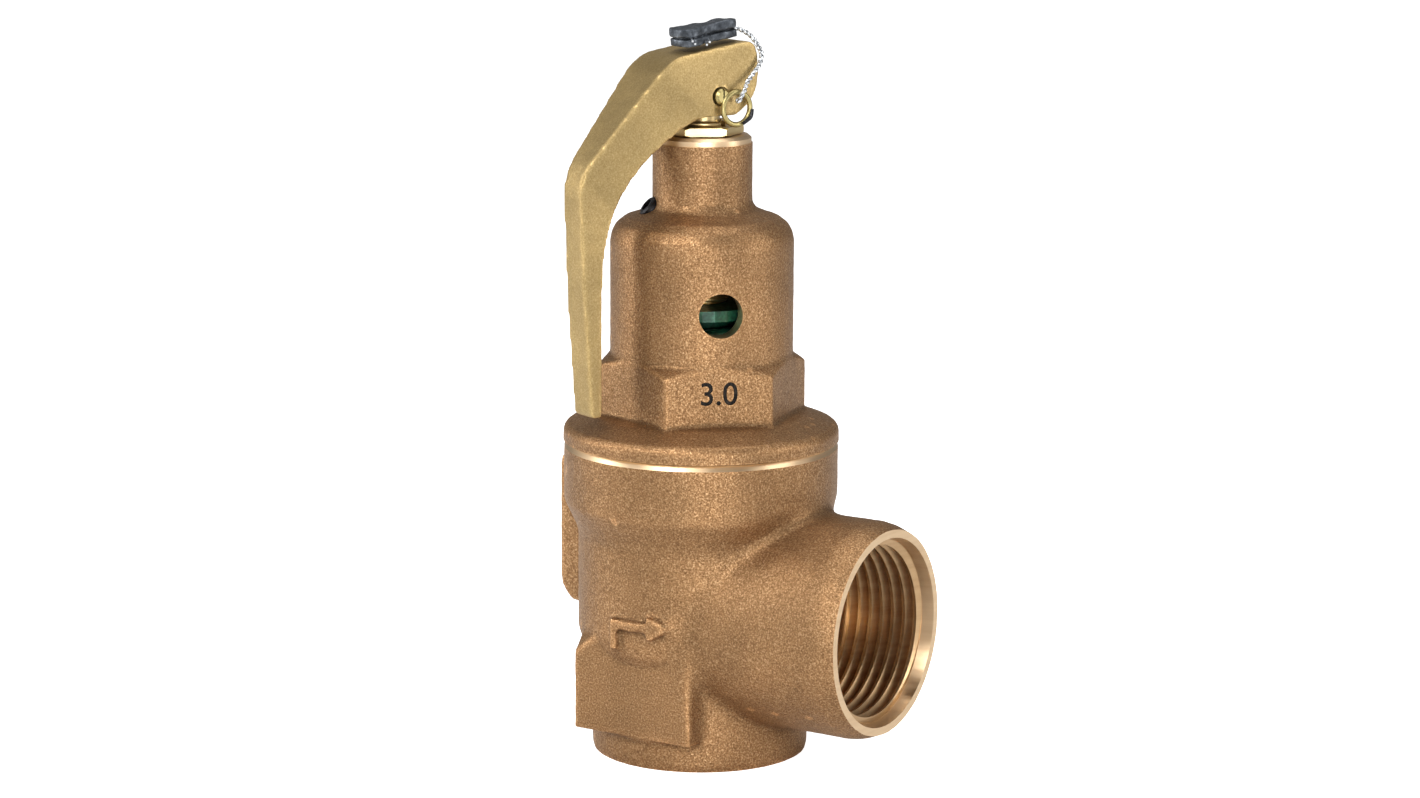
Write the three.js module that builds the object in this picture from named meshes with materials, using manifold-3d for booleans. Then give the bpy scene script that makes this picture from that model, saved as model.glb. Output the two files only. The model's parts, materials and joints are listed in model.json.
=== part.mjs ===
// Angle-pattern pressure relief valve with an easing lever and a wire seal.
// Millimetres, +Z up. The origin is the centre of the inlet face and +X is the outlet axis.
import * as THREE from 'three';
import { mergeVertices } from 'three/addons/utils/BufferGeometryUtils.js';
import Module from 'manifold-3d';

const wasm = await Module();
wasm.setup();

// ---------------------------------------------------------------- driving dimensions

// Pipe threads, G 3/4 female at the inlet and at the outlet, bored to the crest diameter
const threadMinorRadius = 12.06;
const threadMajorRadius = 13.22;
const inletThreadDepth = 14.5;
const bossWall = 2.15;

// Gaps between pieces
const seatGap = 0.15;
const slideGap = 0.25;
const threadGap = 0.3;

// Body
const seatBoreRadius = 9.0;
const seatLand = 5.8;
const nozzleHeight = 3.1;
const nozzleWall = 2.0;
const castWall = 3.0;
const portWall = 3.3;
const outletReach = 30.7;
const outletFaceRadius = 14.35;
const outletBossDrop = 5.35;
const ledgeRoof = 3.25;
const ledgeWidth = 2.6;
const socketDepth = 8.6;
const socketWall = 2.4;
const flatLeft = 10.9;
const flatRight = 8.5;
const flatStandOff = 0.55;
const flatBottom = 4.3;
const backPadHalfWidth = 6.3;
const backPadStandOff = 2.6;
const arrowRelief = 0.6;

// Bonnet
const flangeRise = 4.3;
const hexAcrossFlats = 26;
const hexHeight = 8.1;
const hexFaceAngle = -46.5;
const barrelHeight = 16.2;
const barrelInset = 0.1;
const barrelWall = 3.0;
const shoulderRise = 4.6;
const neckHeight = 10.2;
const neckWall = 2.9;
const windowRadius = 3.1;
const windowDrop = 8.9;
const windowAngle = -45;

// Moving stack
const discSealOverlap = 1.6;
const discSealThickness = 2.5;
const discHolderWall = 1.6;
const discHolderHeight = 7.3;
const diaphragmThickness = 0.8;
const spindleRadius = 2.4;
const collarHeight = 2.0;
const springWire = 2.5;
const springTurns = 4.5;
const adjustingScrewWall = 1.4;
const adjustingScrewRise = 0.7;
const locknutHeight = 1.15;

// Lever, split pin and seal
const leverAngle = -112;
const leverReach = 3.2;
const pinRise = 4.3;
const headThickness = 8.7;
const tailThickness = 4.5;
const pinRadius = 1.15;
const eyeRadius = 2.27;
const eyeWire = 0.36;
const sealWireRadius = 0.36;
const sealLength = 9.8;
const sealThickness = 2.7;

// ---------------------------------------------------------------- dependent dimensions

// Body, from the inlet face up
const inletBossRadius = threadMajorRadius + bossWall;
const outletBossRadius = threadMajorRadius + bossWall - 0.05;
const seatTop = inletThreadDepth + seatLand;
const chamberFloor = seatTop - nozzleHeight;
const outletHeight = outletBossRadius + outletBossDrop;
const portRadius = (outletHeight + threadMinorRadius - chamberFloor) / 2;
const portHeight = chamberFloor + portRadius;
const ledgeHeight = portHeight + portRadius + ledgeRoof;
const seamHeight = ledgeHeight + socketDepth;

// Radii, from the seat outwards
const discSealRadius = seatBoreRadius + discSealOverlap;
const discHolderRadius = discSealRadius + discHolderWall;
const chamberRadius = discHolderRadius + 2.2;
const waistRadius = chamberRadius + castWall;
const socketRadius = chamberRadius + ledgeWidth;
const upperRadius = socketRadius + socketWall;
const flatDistance = inletBossRadius + flatStandOff;
const outletBoreEnd = threadMajorRadius + portWall;

// Bonnet
const flangeRadius = upperRadius + 0.1;
const hexBase = seamHeight + flangeRise;
const hexTop = hexBase + hexHeight;
const hexCornerRadius = hexAcrossFlats / Math.sqrt(3);
const barrelRadius = hexAcrossFlats / 2 - barrelInset;
const barrelTop = hexTop + barrelHeight;
const neckBase = barrelTop + shoulderRise;
const neckTop = neckBase + neckHeight;
const springBoreRadius = barrelRadius - barrelWall;
const adjustingScrewRadius = spindleRadius + adjustingScrewWall;
const neckBoreRadius = adjustingScrewRadius + threadGap;
const neckRadius = neckBoreRadius + neckWall;
const windowHeight = barrelTop - windowDrop;
const spigotRadius = socketRadius - threadGap;

// Moving stack, from the seat up
const discSealBottom = seatTop + seatGap;
const discSealTop = discSealBottom + discSealThickness;
const discHolderBottom = discSealBottom + 0.75;
const diaphragmBottom = ledgeHeight + seatGap;
const diaphragmTop = diaphragmBottom + diaphragmThickness;
const slipRingTop = diaphragmTop + seatGap + 0.5;
const spigotBottom = slipRingTop + seatGap;
const washerTop = diaphragmTop + seatGap + 0.8;
const collarBottom = washerTop + seatGap;
const lowerPlateBottom = collarBottom + collarHeight + seatGap;
const lowerPlateFlange = lowerPlateBottom + 2.8;
const springBottom = lowerPlateFlange + 2.0 + seatGap;
const upperPlateTop = windowHeight;
const upperPlateFlange = upperPlateTop - 1.5;
const springTop = upperPlateFlange - seatGap;
const springOuterRadius = springBoreRadius - 1.6;
const springMeanRadius = springOuterRadius - springWire / 2;
const springPilotRadius = springMeanRadius - springWire / 2 - 0.4;
const spindleHoleRadius = spindleRadius + slideGap;
const locknutBottom = neckTop + seatGap;
const locknutTop = locknutBottom + locknutHeight;
const locknutAcrossFlats = 2 * (adjustingScrewRadius + 1.2);
const pinHeight = locknutTop + pinRise;
const spindleTop = pinHeight + 2.6;

// ---------------------------------------------------------------- helpers

const radians = THREE.MathUtils.degToRad;
const bodySegments = 48;
const pieceSegments = 32;

// A closed three.js geometry as a manifold solid
function solid(geometry) {
  const bare = geometry.clone();
  bare.deleteAttribute('normal');
  bare.deleteAttribute('uv');
  const merged = mergeVertices(bare, 1e-4);
  const vertProperties = new Float32Array(merged.attributes.position.array);
  const triVerts = new Uint32Array(merged.index.array);
  return new wasm.Manifold(new wasm.Mesh({ numProp: 3, vertProperties, triVerts }));
}

// A manifold solid as a three.js geometry
function geometryOf(manifold) {
  const mesh = manifold.getMesh();
  const geometry = new THREE.BufferGeometry();
  geometry.setAttribute('position', new THREE.BufferAttribute(mesh.vertProperties, 3));
  geometry.setIndex(new THREE.BufferAttribute(mesh.triVerts, 1));
  geometry.computeVertexNormals();
  return geometry;
}

// A turned shape about Z from a profile of [radius, height] pairs, listed bottom to top outside
function turned(profile, segments = pieceSegments) {
  const points = profile.map(([radius, height]) => new THREE.Vector2(radius, height));
  return new THREE.LatheGeometry(points, segments).rotateX(Math.PI / 2);
}

// A turned tube about Z between two heights
function tube(outer, inner, bottom, top, segments = pieceSegments) {
  const profile = [[inner, bottom], [outer, bottom], [outer, top], [inner, top], [inner, bottom]];
  return turned(profile, segments);
}

// A round bar from a point along a direction
function bar(radius, start, direction, length, segments = 24) {
  const geometry = new THREE.CylinderGeometry(radius, radius, length, segments);
  geometry.translate(0, length / 2, 0);
  const aim = new THREE.Quaternion();
  aim.setFromUnitVectors(new THREE.Vector3(0, 1, 0), direction.clone().normalize());
  geometry.applyQuaternion(aim);
  return geometry.translate(start.x, start.y, start.z);
}

// A horizontal direction at an angle about Z
function heading(degrees) {
  return new THREE.Vector3(Math.cos(radians(degrees)), Math.sin(radians(degrees)), 0);
}

// A regular hexagon prism about Z, one face square to the given angle
function hexagon(acrossFlats, bottom, height, faceAngle) {
  const shape = new THREE.Shape();
  const corner = acrossFlats / Math.sqrt(3);
  for (let side = 0; side < 6; side += 1) {
    const at = heading(faceAngle + 30 + 60 * side).multiplyScalar(corner);
    if (side === 0) shape.moveTo(at.x, at.y);
    else shape.lineTo(at.x, at.y);
  }
  shape.closePath();
  return new THREE.ExtrudeGeometry(shape, { depth: height, bevelEnabled: false }).translate(0, 0, bottom);
}

// A closed outline whose corners are rounded: each corner is [x, y, setback]
function roundedShape(corners) {
  const shape = new THREE.Shape();
  corners.forEach(([x, y, setback], index) => {
    const [lastX, lastY] = corners[(index + corners.length - 1) % corners.length];
    const [nextX, nextY] = corners[(index + 1) % corners.length];
    const corner = new THREE.Vector2(x, y);
    const before = new THREE.Vector2(lastX, lastY).sub(corner).setLength(setback).add(corner);
    const after = new THREE.Vector2(nextX, nextY).sub(corner).setLength(setback).add(corner);
    if (index === 0) shape.moveTo(before.x, before.y);
    else shape.lineTo(before.x, before.y);
    shape.quadraticCurveTo(x, y, after.x, after.y);
  });
  shape.closePath();
  return shape;
}

// An outline drawn in (x, z) and given a thickness about y = 0
function upright(shape, thickness, curveSegments = 4) {
  const geometry = new THREE.ExtrudeGeometry(shape, { depth: thickness, bevelEnabled: false, curveSegments });
  return geometry.translate(0, 0, -thickness / 2).rotateX(Math.PI / 2);
}

// A round wire along a smooth path of points
function wire(points, radius, steps, sides = 8, closed = false) {
  const section = new THREE.Shape();
  section.absarc(0, 0, radius, 0, 2 * Math.PI, false);
  const path = new THREE.CatmullRomCurve3(points, closed);
  return new THREE.ExtrudeGeometry(section, { steps, extrudePath: path, curveSegments: sides });
}

function finish(color, roughness, metalness) {
  return new THREE.MeshStandardMaterial({ color, roughness, metalness });
}

const castBronze = finish(0xa0744a, 0.55, 0.9);
const machinedBrass = finish(0xc9a868, 0.3, 1);
const leverBrass = finish(0xb59a58, 0.45, 0.9);
const springGreen = finish(0x14522f, 0.45, 0.2);
const blackOxide = finish(0x1b1b1d, 0.5, 0.6);
const rubber = finish(0x1d1d1f, 0.8, 0);
const whiteSeal = finish(0xe6e2d8, 0.6, 0);
const stainless = finish(0xb9bcc0, 0.3, 1);
const lead = finish(0x54585e, 0.55, 0.7);

function part(name, shape, material) {
  const geometry = shape.isBufferGeometry ? shape : geometryOf(shape);
  const mesh = new THREE.Mesh(geometry, material);
  mesh.name = name;
  return mesh;
}

// ---------------------------------------------------------------- body

function flowArrow() {
  const tailX = -3.4;
  const tipX = tailX + 9.9;
  const neckX = tipX - 3.8;
  const barZ = seatTop + 0.9;
  const corners = [
    [tailX, barZ - 3.9], [tailX + 0.9, barZ - 3.9], [tailX + 0.9, barZ - 0.8], [neckX, barZ - 0.8],
    [neckX, barZ - 1.9], [tipX, barZ], [neckX, barZ + 1.5], [neckX, barZ + 0.4], [tailX, barZ + 0.4],
  ];
  const shape = new THREE.Shape(corners.map(([x, z]) => new THREE.Vector2(x, z)));
  const plate = solid(upright(shape, waistRadius).translate(0, -waistRadius, 0));
  return plate.intersect(solid(turned([
    [0, barZ - 4], [waistRadius + arrowRelief, barZ - 4],
    [waistRadius + arrowRelief, barZ + 4], [0, barZ + 4],
  ], bodySegments)));
}

function backPad() {
  const face = -(waistRadius + backPadStandOff);
  const top = seamHeight - 3.2;
  const bottom = seatTop - 0.5;
  const outline = roundedShape([
    [0, bottom, 0.5], [0, top, 0.5], [face, top, 1.2], [face, bottom + 2.2, 1.0], [face + 2, bottom, 0.8],
  ]);
  return solid(upright(outline, 2 * backPadHalfWidth));
}

// Two wrench flats: a rounded block whose upper corners lean in to the waist
function wrenchBlock() {
  const top = chamberFloor + 1.2;
  const shape = roundedShape([
    [flatRight, flatDistance, 1.2], [-flatLeft, flatDistance, 1.2],
    [-flatLeft, -flatDistance, 1.2], [flatRight, -flatDistance, 1.2],
  ]);
  const options = { depth: top - flatBottom, bevelEnabled: false, curveSegments: 4 };
  const block = solid(new THREE.ExtrudeGeometry(shape, options).translate(0, 0, flatBottom));
  const cornerRadius = Math.hypot(flatLeft, flatDistance);
  return block.intersect(solid(turned([
    [0, flatBottom], [cornerRadius, flatBottom], [cornerRadius, top - 4.5], [waistRadius - 0.3, top], [0, top],
  ], bodySegments)));
}

function bodyOutside() {
  const column = solid(turned([
    [0, 0], [inletBossRadius - 0.4, 0], [inletBossRadius, 0.4], [inletBossRadius, chamberFloor - 3.6],
    [waistRadius, chamberFloor + 0.4], [waistRadius, ledgeHeight - 4], [waistRadius + 0.4, ledgeHeight - 2.6],
    [upperRadius - 0.3, ledgeHeight - 0.4], [upperRadius, ledgeHeight + 0.3], [upperRadius, seamHeight - 0.6],
    [upperRadius - 0.4, seamHeight], [0, seamHeight],
  ], bodySegments));
  const round = outletBossRadius - outletFaceRadius;
  const boss = solid(turned([
    [0, 0], [outletBossRadius, 0], [outletBossRadius, outletReach - 3],
    [outletBossRadius - 0.3 * round, outletReach - 1.2], [outletFaceRadius, outletReach], [0, outletReach],
  ], bodySegments).rotateY(Math.PI / 2).translate(0, 0, outletHeight));
  return column.add(boss).add(wrenchBlock()).add(backPad()).add(flowArrow());
}

function bodyHollow() {
  const mouth = threadMajorRadius + 0.15;
  const inlet = solid(turned([
    [0, -1], [mouth, -1], [mouth, 0], [threadMinorRadius, 1.3], [threadMinorRadius, inletThreadDepth],
    [0, inletThreadDepth],
  ], bodySegments));
  const nozzleRadius = seatBoreRadius + nozzleWall;
  const chamber = solid(turned([
    [0, inletThreadDepth - 1], [seatBoreRadius, inletThreadDepth - 1], [seatBoreRadius, seatTop],
    [seatBoreRadius + 1.1, seatTop], [nozzleRadius, seatTop - 1], [nozzleRadius, chamberFloor],
    [chamberRadius, chamberFloor], [chamberRadius, ledgeHeight], [socketRadius, ledgeHeight],
    [socketRadius, seamHeight + 1], [0, seamHeight + 1],
  ], bodySegments));
  const depth = outletReach - outletBoreEnd;
  const outlet = solid(turned([
    [0, 0], [threadMinorRadius, 0], [threadMinorRadius, depth - 2.2], [mouth - 0.1, depth],
    [mouth - 0.1, depth + 1], [0, depth + 1],
  ], bodySegments).rotateY(Math.PI / 2).translate(outletBoreEnd, 0, outletHeight));
  const portStart = new THREE.Vector3(chamberRadius - 2.4, 0, portHeight);
  const port = solid(bar(portRadius, portStart, heading(0), outletBoreEnd - portStart.x + 1, 32));
  return inlet.add(chamber).add(outlet).add(port);
}

function makeBody() {
  return part('body', bodyOutside().subtract(bodyHollow()), castBronze);
}

// ---------------------------------------------------------------- bonnet and what it holds

function bonnetOutside() {
  const flangeBottom = seamHeight + 0.2;
  const turnedPart = solid(turned([
    [0, spigotBottom], [spigotRadius - 0.5, spigotBottom], [spigotRadius, spigotBottom + 0.5],
    [spigotRadius, flangeBottom], [flangeRadius, flangeBottom], [flangeRadius, hexBase - 2.5],
    [flangeRadius - 0.5, hexBase - 1.8], [hexCornerRadius, hexBase - 0.3], [barrelRadius, hexBase],
    [barrelRadius, barrelTop], [barrelRadius - 0.25, barrelTop + 1.1], [barrelRadius - 0.85, barrelTop + 2.2],
    [barrelRadius - 2.1, barrelTop + 3.2], [neckRadius + 1.2, neckBase - 0.5], [neckRadius, neckBase + 0.9],
    [neckRadius, neckTop - 0.3], [neckRadius - 0.3, neckTop], [0, neckTop],
  ], bodySegments));
  const chamfer = hexCornerRadius - hexAcrossFlats / 2;
  const crown = solid(turned([
    [0, hexBase - 1], [hexCornerRadius, hexBase - 1], [hexCornerRadius, hexTop - 0.7 * chamfer],
    [hexCornerRadius - chamfer, hexTop], [0, hexTop],
  ], bodySegments));
  const hex = solid(hexagon(hexAcrossFlats, hexBase - 1, hexHeight + 1, hexFaceAngle)).intersect(crown);
  return turnedPart.add(hex);
}

// The lock screw leans in to the adjusting screw from the root of the neck
const lockScrewAngle = -132;
const lockScrewLean = 40;
const lockScrewRadius = 1.5;
const lockScrewLength = 3.9;
const lockScrewAxis = heading(lockScrewAngle).multiplyScalar(Math.cos(radians(lockScrewLean)));
lockScrewAxis.z = Math.sin(radians(lockScrewLean));
const lockScrewTip = heading(lockScrewAngle).multiplyScalar(neckBoreRadius + 1.0);
lockScrewTip.z = neckBase - 2.0;

function makeBonnet() {
  const hollow = solid(turned([
    [0, spigotBottom - 1], [chamberRadius - 1, spigotBottom - 1], [chamberRadius - 1, seamHeight - 3.6],
    [springBoreRadius, seamHeight - 1.1], [springBoreRadius, barrelTop - 1.7], [neckBoreRadius, neckBase - 2.6],
    [neckBoreRadius, neckTop + 1], [0, neckTop + 1],
  ], bodySegments));
  const windowStart = new THREE.Vector3(0, 0, windowHeight);
  const window = solid(bar(windowRadius, windowStart, heading(windowAngle), barrelRadius + 2, 32));
  const tapping = solid(bar(lockScrewRadius + 0.15, lockScrewTip, lockScrewAxis, lockScrewLength + 4, 16));
  return part('bonnet', bonnetOutside().subtract(hollow).subtract(window).subtract(tapping), castBronze);
}

function makeLockScrew() {
  const start = lockScrewTip.clone().addScaledVector(lockScrewAxis, 0.1);
  const screw = solid(bar(lockScrewRadius, start, lockScrewAxis, lockScrewLength, 16));
  const socketStart = start.clone().addScaledVector(lockScrewAxis, lockScrewLength - 1.4);
  const socket = solid(bar(0.85, socketStart, lockScrewAxis, 2, 6));
  return part('lock_screw', screw.subtract(socket), blackOxide);
}

function makeAdjustingScrew() {
  const bottom = upperPlateTop + seatGap;
  const top = locknutTop + adjustingScrewRise;
  const tubeSolid = solid(turned([
    [spindleHoleRadius, bottom], [adjustingScrewRadius - 0.5, bottom], [adjustingScrewRadius, bottom + 0.5],
    [adjustingScrewRadius, top - 0.2], [adjustingScrewRadius - 0.2, top], [spindleHoleRadius, top],
    [spindleHoleRadius, bottom],
  ]));
  const slot = solid(new THREE.BoxGeometry(3 * adjustingScrewRadius, 1.1, 1.6).translate(0, 0, top));
  return part('adjusting_screw', tubeSolid.subtract(slot), machinedBrass);
}

function makeLocknut() {
  const nut = solid(hexagon(locknutAcrossFlats, locknutBottom, locknutHeight, leverAngle));
  const hole = solid(turned([
    [0, locknutBottom - 1], [adjustingScrewRadius + 0.2, locknutBottom - 1],
    [adjustingScrewRadius + 0.2, locknutTop + 1], [0, locknutTop + 1],
  ]));
  return part('locknut', nut.subtract(hole), machinedBrass);
}

// ---------------------------------------------------------------- diaphragm and disc

function makeDiaphragm() {
  return part('diaphragm', tube(socketRadius - 0.4, spindleHoleRadius, diaphragmBottom, diaphragmTop), rubber);
}

function makeSlipRing() {
  const bottom = diaphragmTop + seatGap;
  return part('slip_ring', tube(spigotRadius - 0.3, chamberRadius - 0.9, bottom, slipRingTop), stainless);
}

function makeDiaphragmWasher() {
  return part('diaphragm_washer', tube(7.5, spindleHoleRadius, diaphragmTop + seatGap, washerTop), stainless);
}

const discScrewRadius = 2.0;

function makeDiscHolder() {
  const stemRadius = spindleRadius + 2.6;
  const shoulder = discHolderBottom + discHolderHeight;
  const recess = discSealTop + seatGap;
  const stemTop = diaphragmBottom - seatGap;
  const holder = solid(turned([
    [0, recess], [discSealRadius + 0.2, recess], [discSealRadius + 0.2, discHolderBottom],
    [discHolderRadius, discHolderBottom], [discHolderRadius, shoulder - 1.5], [discHolderRadius - 1.5, shoulder],
    [stemRadius, shoulder + 0.4], [stemRadius, stemTop], [0, stemTop],
  ]));
  const screwHole = solid(bar(discScrewRadius + 0.2, new THREE.Vector3(0, 0, recess - 1), up, 5.2, 24));
  const spindleHole = solid(turned([
    [0, shoulder + 0.6], [spindleHoleRadius, shoulder + 0.6], [spindleHoleRadius, stemTop + 1], [0, stemTop + 1],
  ]));
  return part('disc_holder', holder.subtract(screwHole).subtract(spindleHole), machinedBrass);
}

function makeDiscSeal() {
  return part('disc_seal', tube(discSealRadius, discScrewRadius + 0.2, discSealBottom, discSealTop), whiteSeal);
}

const sealWasherTop = discSealBottom - seatGap;
const sealWasherBottom = sealWasherTop - 0.6;

function makeSealWasher() {
  return part('seal_washer', tube(6, discScrewRadius + 0.2, sealWasherBottom, sealWasherTop), stainless);
}

function makeDiscScrew() {
  const headTop = sealWasherBottom - seatGap;
  const screw = solid(turned([
    [0, headTop - 2], [3.0, headTop - 2], [3.4, headTop - 1.6], [3.4, headTop], [discScrewRadius, headTop],
    [discScrewRadius, discSealTop + 3.4], [0, discSealTop + 3.4],
  ], 24));
  const slot = solid(new THREE.BoxGeometry(8, 0.9, 1.8).translate(0, 0, headTop - 2));
  return part('disc_screw', screw.subtract(slot), stainless);
}

// ---------------------------------------------------------------- spindle and spring

const up = new THREE.Vector3(0, 0, 1);

function makeSpindle() {
  const collarTop = collarBottom + collarHeight;
  const bottom = discHolderBottom + discHolderHeight + 0.9;
  const turnedPart = solid(turned([
    [0, bottom], [spindleRadius - 0.4, bottom], [spindleRadius, bottom + 0.4], [spindleRadius, collarBottom],
    [spindleRadius + 2.2, collarBottom], [spindleRadius + 2.2, collarTop], [spindleRadius, collarTop],
    [spindleRadius, spindleTop - 0.4], [spindleRadius - 0.4, spindleTop], [0, spindleTop],
  ]));
  const across = heading(leverAngle + 90);
  const start = across.clone().multiplyScalar(-5).setZ(pinHeight);
  const crossHole = solid(bar(pinRadius + 0.25, start, across, 10, 16));
  return part('spindle', turnedPart.subtract(crossHole), machinedBrass);
}

function makeLowerSpringPlate() {
  const flangeTop = lowerPlateFlange + 2;
  return part('lower_spring_plate', turned([
    [spindleHoleRadius, lowerPlateBottom], [springPilotRadius, lowerPlateBottom],
    [springPilotRadius, lowerPlateFlange], [springBoreRadius - 0.5, lowerPlateFlange],
    [springBoreRadius - 0.5, flangeTop], [springPilotRadius, flangeTop],
    [springPilotRadius - 0.4, flangeTop + 2.4], [spindleHoleRadius, flangeTop + 2.4],
    [spindleHoleRadius, lowerPlateBottom],
  ]), machinedBrass);
}

function makeUpperSpringPlate() {
  return part('upper_spring_plate', turned([
    [spindleHoleRadius, upperPlateFlange - 2.2], [springPilotRadius - 0.4, upperPlateFlange - 2.2],
    [springPilotRadius, upperPlateFlange], [springBoreRadius - 1.1, upperPlateFlange],
    [springBoreRadius - 1.1, upperPlateTop], [spindleHoleRadius, upperPlateTop],
    [spindleHoleRadius, upperPlateFlange - 2.2],
  ]), springGreen);
}

// Height of the wire's centre line: a closed turn at each end and open turns between
class SpringPath extends THREE.Curve {
  getPoint(t, target = new THREE.Vector3()) {
    const turn = t * springTurns;
    const closedPitch = springWire + 0.12;
    const start = springBottom + 0.3 * springWire;
    const rise = springTop - springBottom - 0.6 * springWire;
    const openPitch = (rise - 2 * closedPitch) / (springTurns - 2);
    const openTurn = THREE.MathUtils.clamp(turn - 1, 0, springTurns - 2);
    const height = start + closedPitch * (turn - openTurn) + openPitch * openTurn;
    const angle = 2 * Math.PI * turn;
    return target.set(springMeanRadius * Math.cos(angle), springMeanRadius * Math.sin(angle), height);
  }
}

function makeSpring() {
  const section = new THREE.Shape();
  section.absarc(0, 0, springWire / 2, 0, 2 * Math.PI, false);
  const options = { steps: 18 * springTurns, extrudePath: new SpringPath(), curveSegments: 5 };
  const coil = solid(new THREE.ExtrudeGeometry(section, options));
  const ground = solid(tube(springOuterRadius + 1, 1, springBottom, springTop));
  return part('spring', coil.intersect(ground), springGreen);
}

// ---------------------------------------------------------------- lever and seal
// Inside the lever group X runs out from the valve's axis, Y runs along the pin and Z is up.

const tailInner = hexCornerRadius + leverReach;
const tipHeight = hexBase + 1.0;
const elbow = new THREE.Vector2(tailInner + 3.5, pinHeight - 9.8);
const upperCorner = new THREE.Vector2(8.2, pinHeight + 5.7);

function leverOutline() {
  const shape = new THREE.Shape();
  const p = pinHeight;
  shape.moveTo(tailInner, p - 26);
  shape.lineTo(tailInner, tipHeight + 0.9);
  shape.quadraticCurveTo(tailInner, tipHeight, tailInner + 0.9, tipHeight);
  shape.quadraticCurveTo(tailInner + 1.7, tipHeight, tailInner + 1.8, tipHeight + 1.0);
  shape.lineTo(tailInner + 2.9, tipHeight + 16);
  shape.lineTo(elbow.x, elbow.y - 3);
  shape.quadraticCurveTo(elbow.x, elbow.y, elbow.x - 2.0, elbow.y + 2.3);
  shape.lineTo(upperCorner.x + 2.4, upperCorner.y - 2.7);
  shape.quadraticCurveTo(upperCorner.x, upperCorner.y, upperCorner.x - 2.6, upperCorner.y + 0.35);
  shape.lineTo(-3.6, p + 7.35);
  shape.quadraticCurveTo(-5.6, p + 7.7, -6.1, p + 6.3);
  shape.quadraticCurveTo(-6.8, p + 3.6, -6.2, p + 1.1);
  shape.quadraticCurveTo(-5.6, p - 1.2, -2.6, p - 2.75);
  shape.lineTo(2.1, p - 2.75);
  shape.quadraticCurveTo(4.4, p - 3.1, 6.8, p - 4.65);
  shape.bezierCurveTo(12.6, p - 8.6, tailInner, p - 14, tailInner, p - 26);
  return shape;
}

// Both sides taper from the thick head to the thin tail along the sloping limb
function leverTaper() {
  const limb = upperCorner.clone().sub(elbow);
  const length = limb.length();
  const reach = 70;
  const shape = new THREE.Shape([
    new THREE.Vector2(-reach, -tailThickness / 2), new THREE.Vector2(0, -tailThickness / 2),
    new THREE.Vector2(length - 2, -headThickness / 2), new THREE.Vector2(reach, -headThickness / 2),
    new THREE.Vector2(reach, headThickness / 2), new THREE.Vector2(length - 2, headThickness / 2),
    new THREE.Vector2(0, tailThickness / 2), new THREE.Vector2(-reach, tailThickness / 2),
  ]);
  const wedge = new THREE.ExtrudeGeometry(shape, { depth: 2 * reach, bevelEnabled: false });
  wedge.translate(0, 0, -reach).rotateY(-Math.atan2(limb.y, limb.x));
  return solid(wedge.translate(elbow.x, 0, elbow.y));
}

const slotHalfWidth = spindleRadius + 0.3;

function makeLever() {
  const blank = solid(upright(leverOutline(), headThickness, 8));
  const swing = Math.hypot(spindleRadius, spindleTop - pinHeight) + 0.3;
  const slot = new THREE.BoxGeometry(20, 2 * slotHalfWidth, 20);
  slot.translate(swing - 10, 0, pinHeight + swing - 10);
  const holeStart = new THREE.Vector3(0, -headThickness, pinHeight);
  const hole = solid(bar(pinRadius + 0.25, holeStart, new THREE.Vector3(0, 1, 0), 2 * headThickness, 16));
  return part('lever', blank.intersect(leverTaper()).subtract(solid(slot)).subtract(hole), leverBrass);
}

// The eye lies flat against the near cheek and the legs are bent over on the far cheek
function makeSplitPin() {
  const cheek = headThickness / 2;
  const eyeY = cheek + 0.3 + eyeWire;
  const eyeX = -2.2;
  const eyeZ = pinHeight - 1.7;
  const shank = solid(bar(pinRadius, new THREE.Vector3(0, -cheek - 1.2, pinHeight), yAxis, 2 * cheek + 1.9, 16));
  const ring = new THREE.TorusGeometry(eyeRadius, eyeWire, 8, 28);
  const eye = solid(ring.rotateX(Math.PI / 2).translate(eyeX, eyeY, eyeZ));
  const legs = [1, -1].map((side) => {
    const from = new THREE.Vector3(0, -cheek - 0.85, pinHeight);
    const along = new THREE.Vector3(side, 0, 0.25 * side);
    return solid(bar(0.5, from, along, 3.4, 10));
  });
  return part('split_pin', shank.add(eye).add(legs[0]).add(legs[1]), machinedBrass);
}

const yAxis = new THREE.Vector3(0, 1, 0);
const sealCentre = new THREE.Vector3(0.75, 1.5, pinHeight + 7.35);
const sealTilt = radians(7);

function makeLeadSeal() {
  const half = sealLength / 2;
  const outline = roundedShape([
    [-half, -1.9, 1.4], [-0.8, -1.5, 0.8], [half, -3.0, 2.2], [half, 3.0, 2.2], [-0.8, 1.5, 0.8], [-half, 1.9, 1.4],
  ]);
  const options = {
    depth: sealThickness - 0.8, bevelEnabled: true, bevelThickness: 0.4, bevelSize: 0.4, bevelOffset: -0.4,
    bevelSegments: 1, curveSegments: 4,
  };
  const mesh = part('lead_seal', new THREE.ExtrudeGeometry(outline, options), lead);
  mesh.position.copy(sealCentre);
  mesh.rotation.y = sealTilt;
  return mesh;
}

// From the seal, over the heel's upper corner, down the near cheek and into the split pin's eye
function makeSealWire() {
  const p = pinHeight;
  const y = headThickness / 2 + 0.35 + sealWireRadius;
  const points = [
    [-4.7, 1.2, 8.9], [-5.7, 1.6, 8.6], [-6.4, 2.5, 7.9], [-6.85, 3.5, 6.8], [-6.8, 4.6, 5.5],
    [-6.0, y, 4.2], [-4.8, y + 0.1, 2.9], [-3.6, y + 0.45, 1.8], [-2.9, y + 0.95, 1.0], [-2.35, y + 0.95, 0.2],
    [-2.1, y + 0.5, -0.7],
  ].map(([x, across, z]) => new THREE.Vector3(x, across, p + z));
  return part('seal_wire', wire(points, sealWireRadius, 40, 4), stainless);
}

// ---------------------------------------------------------------- assembly

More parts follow.
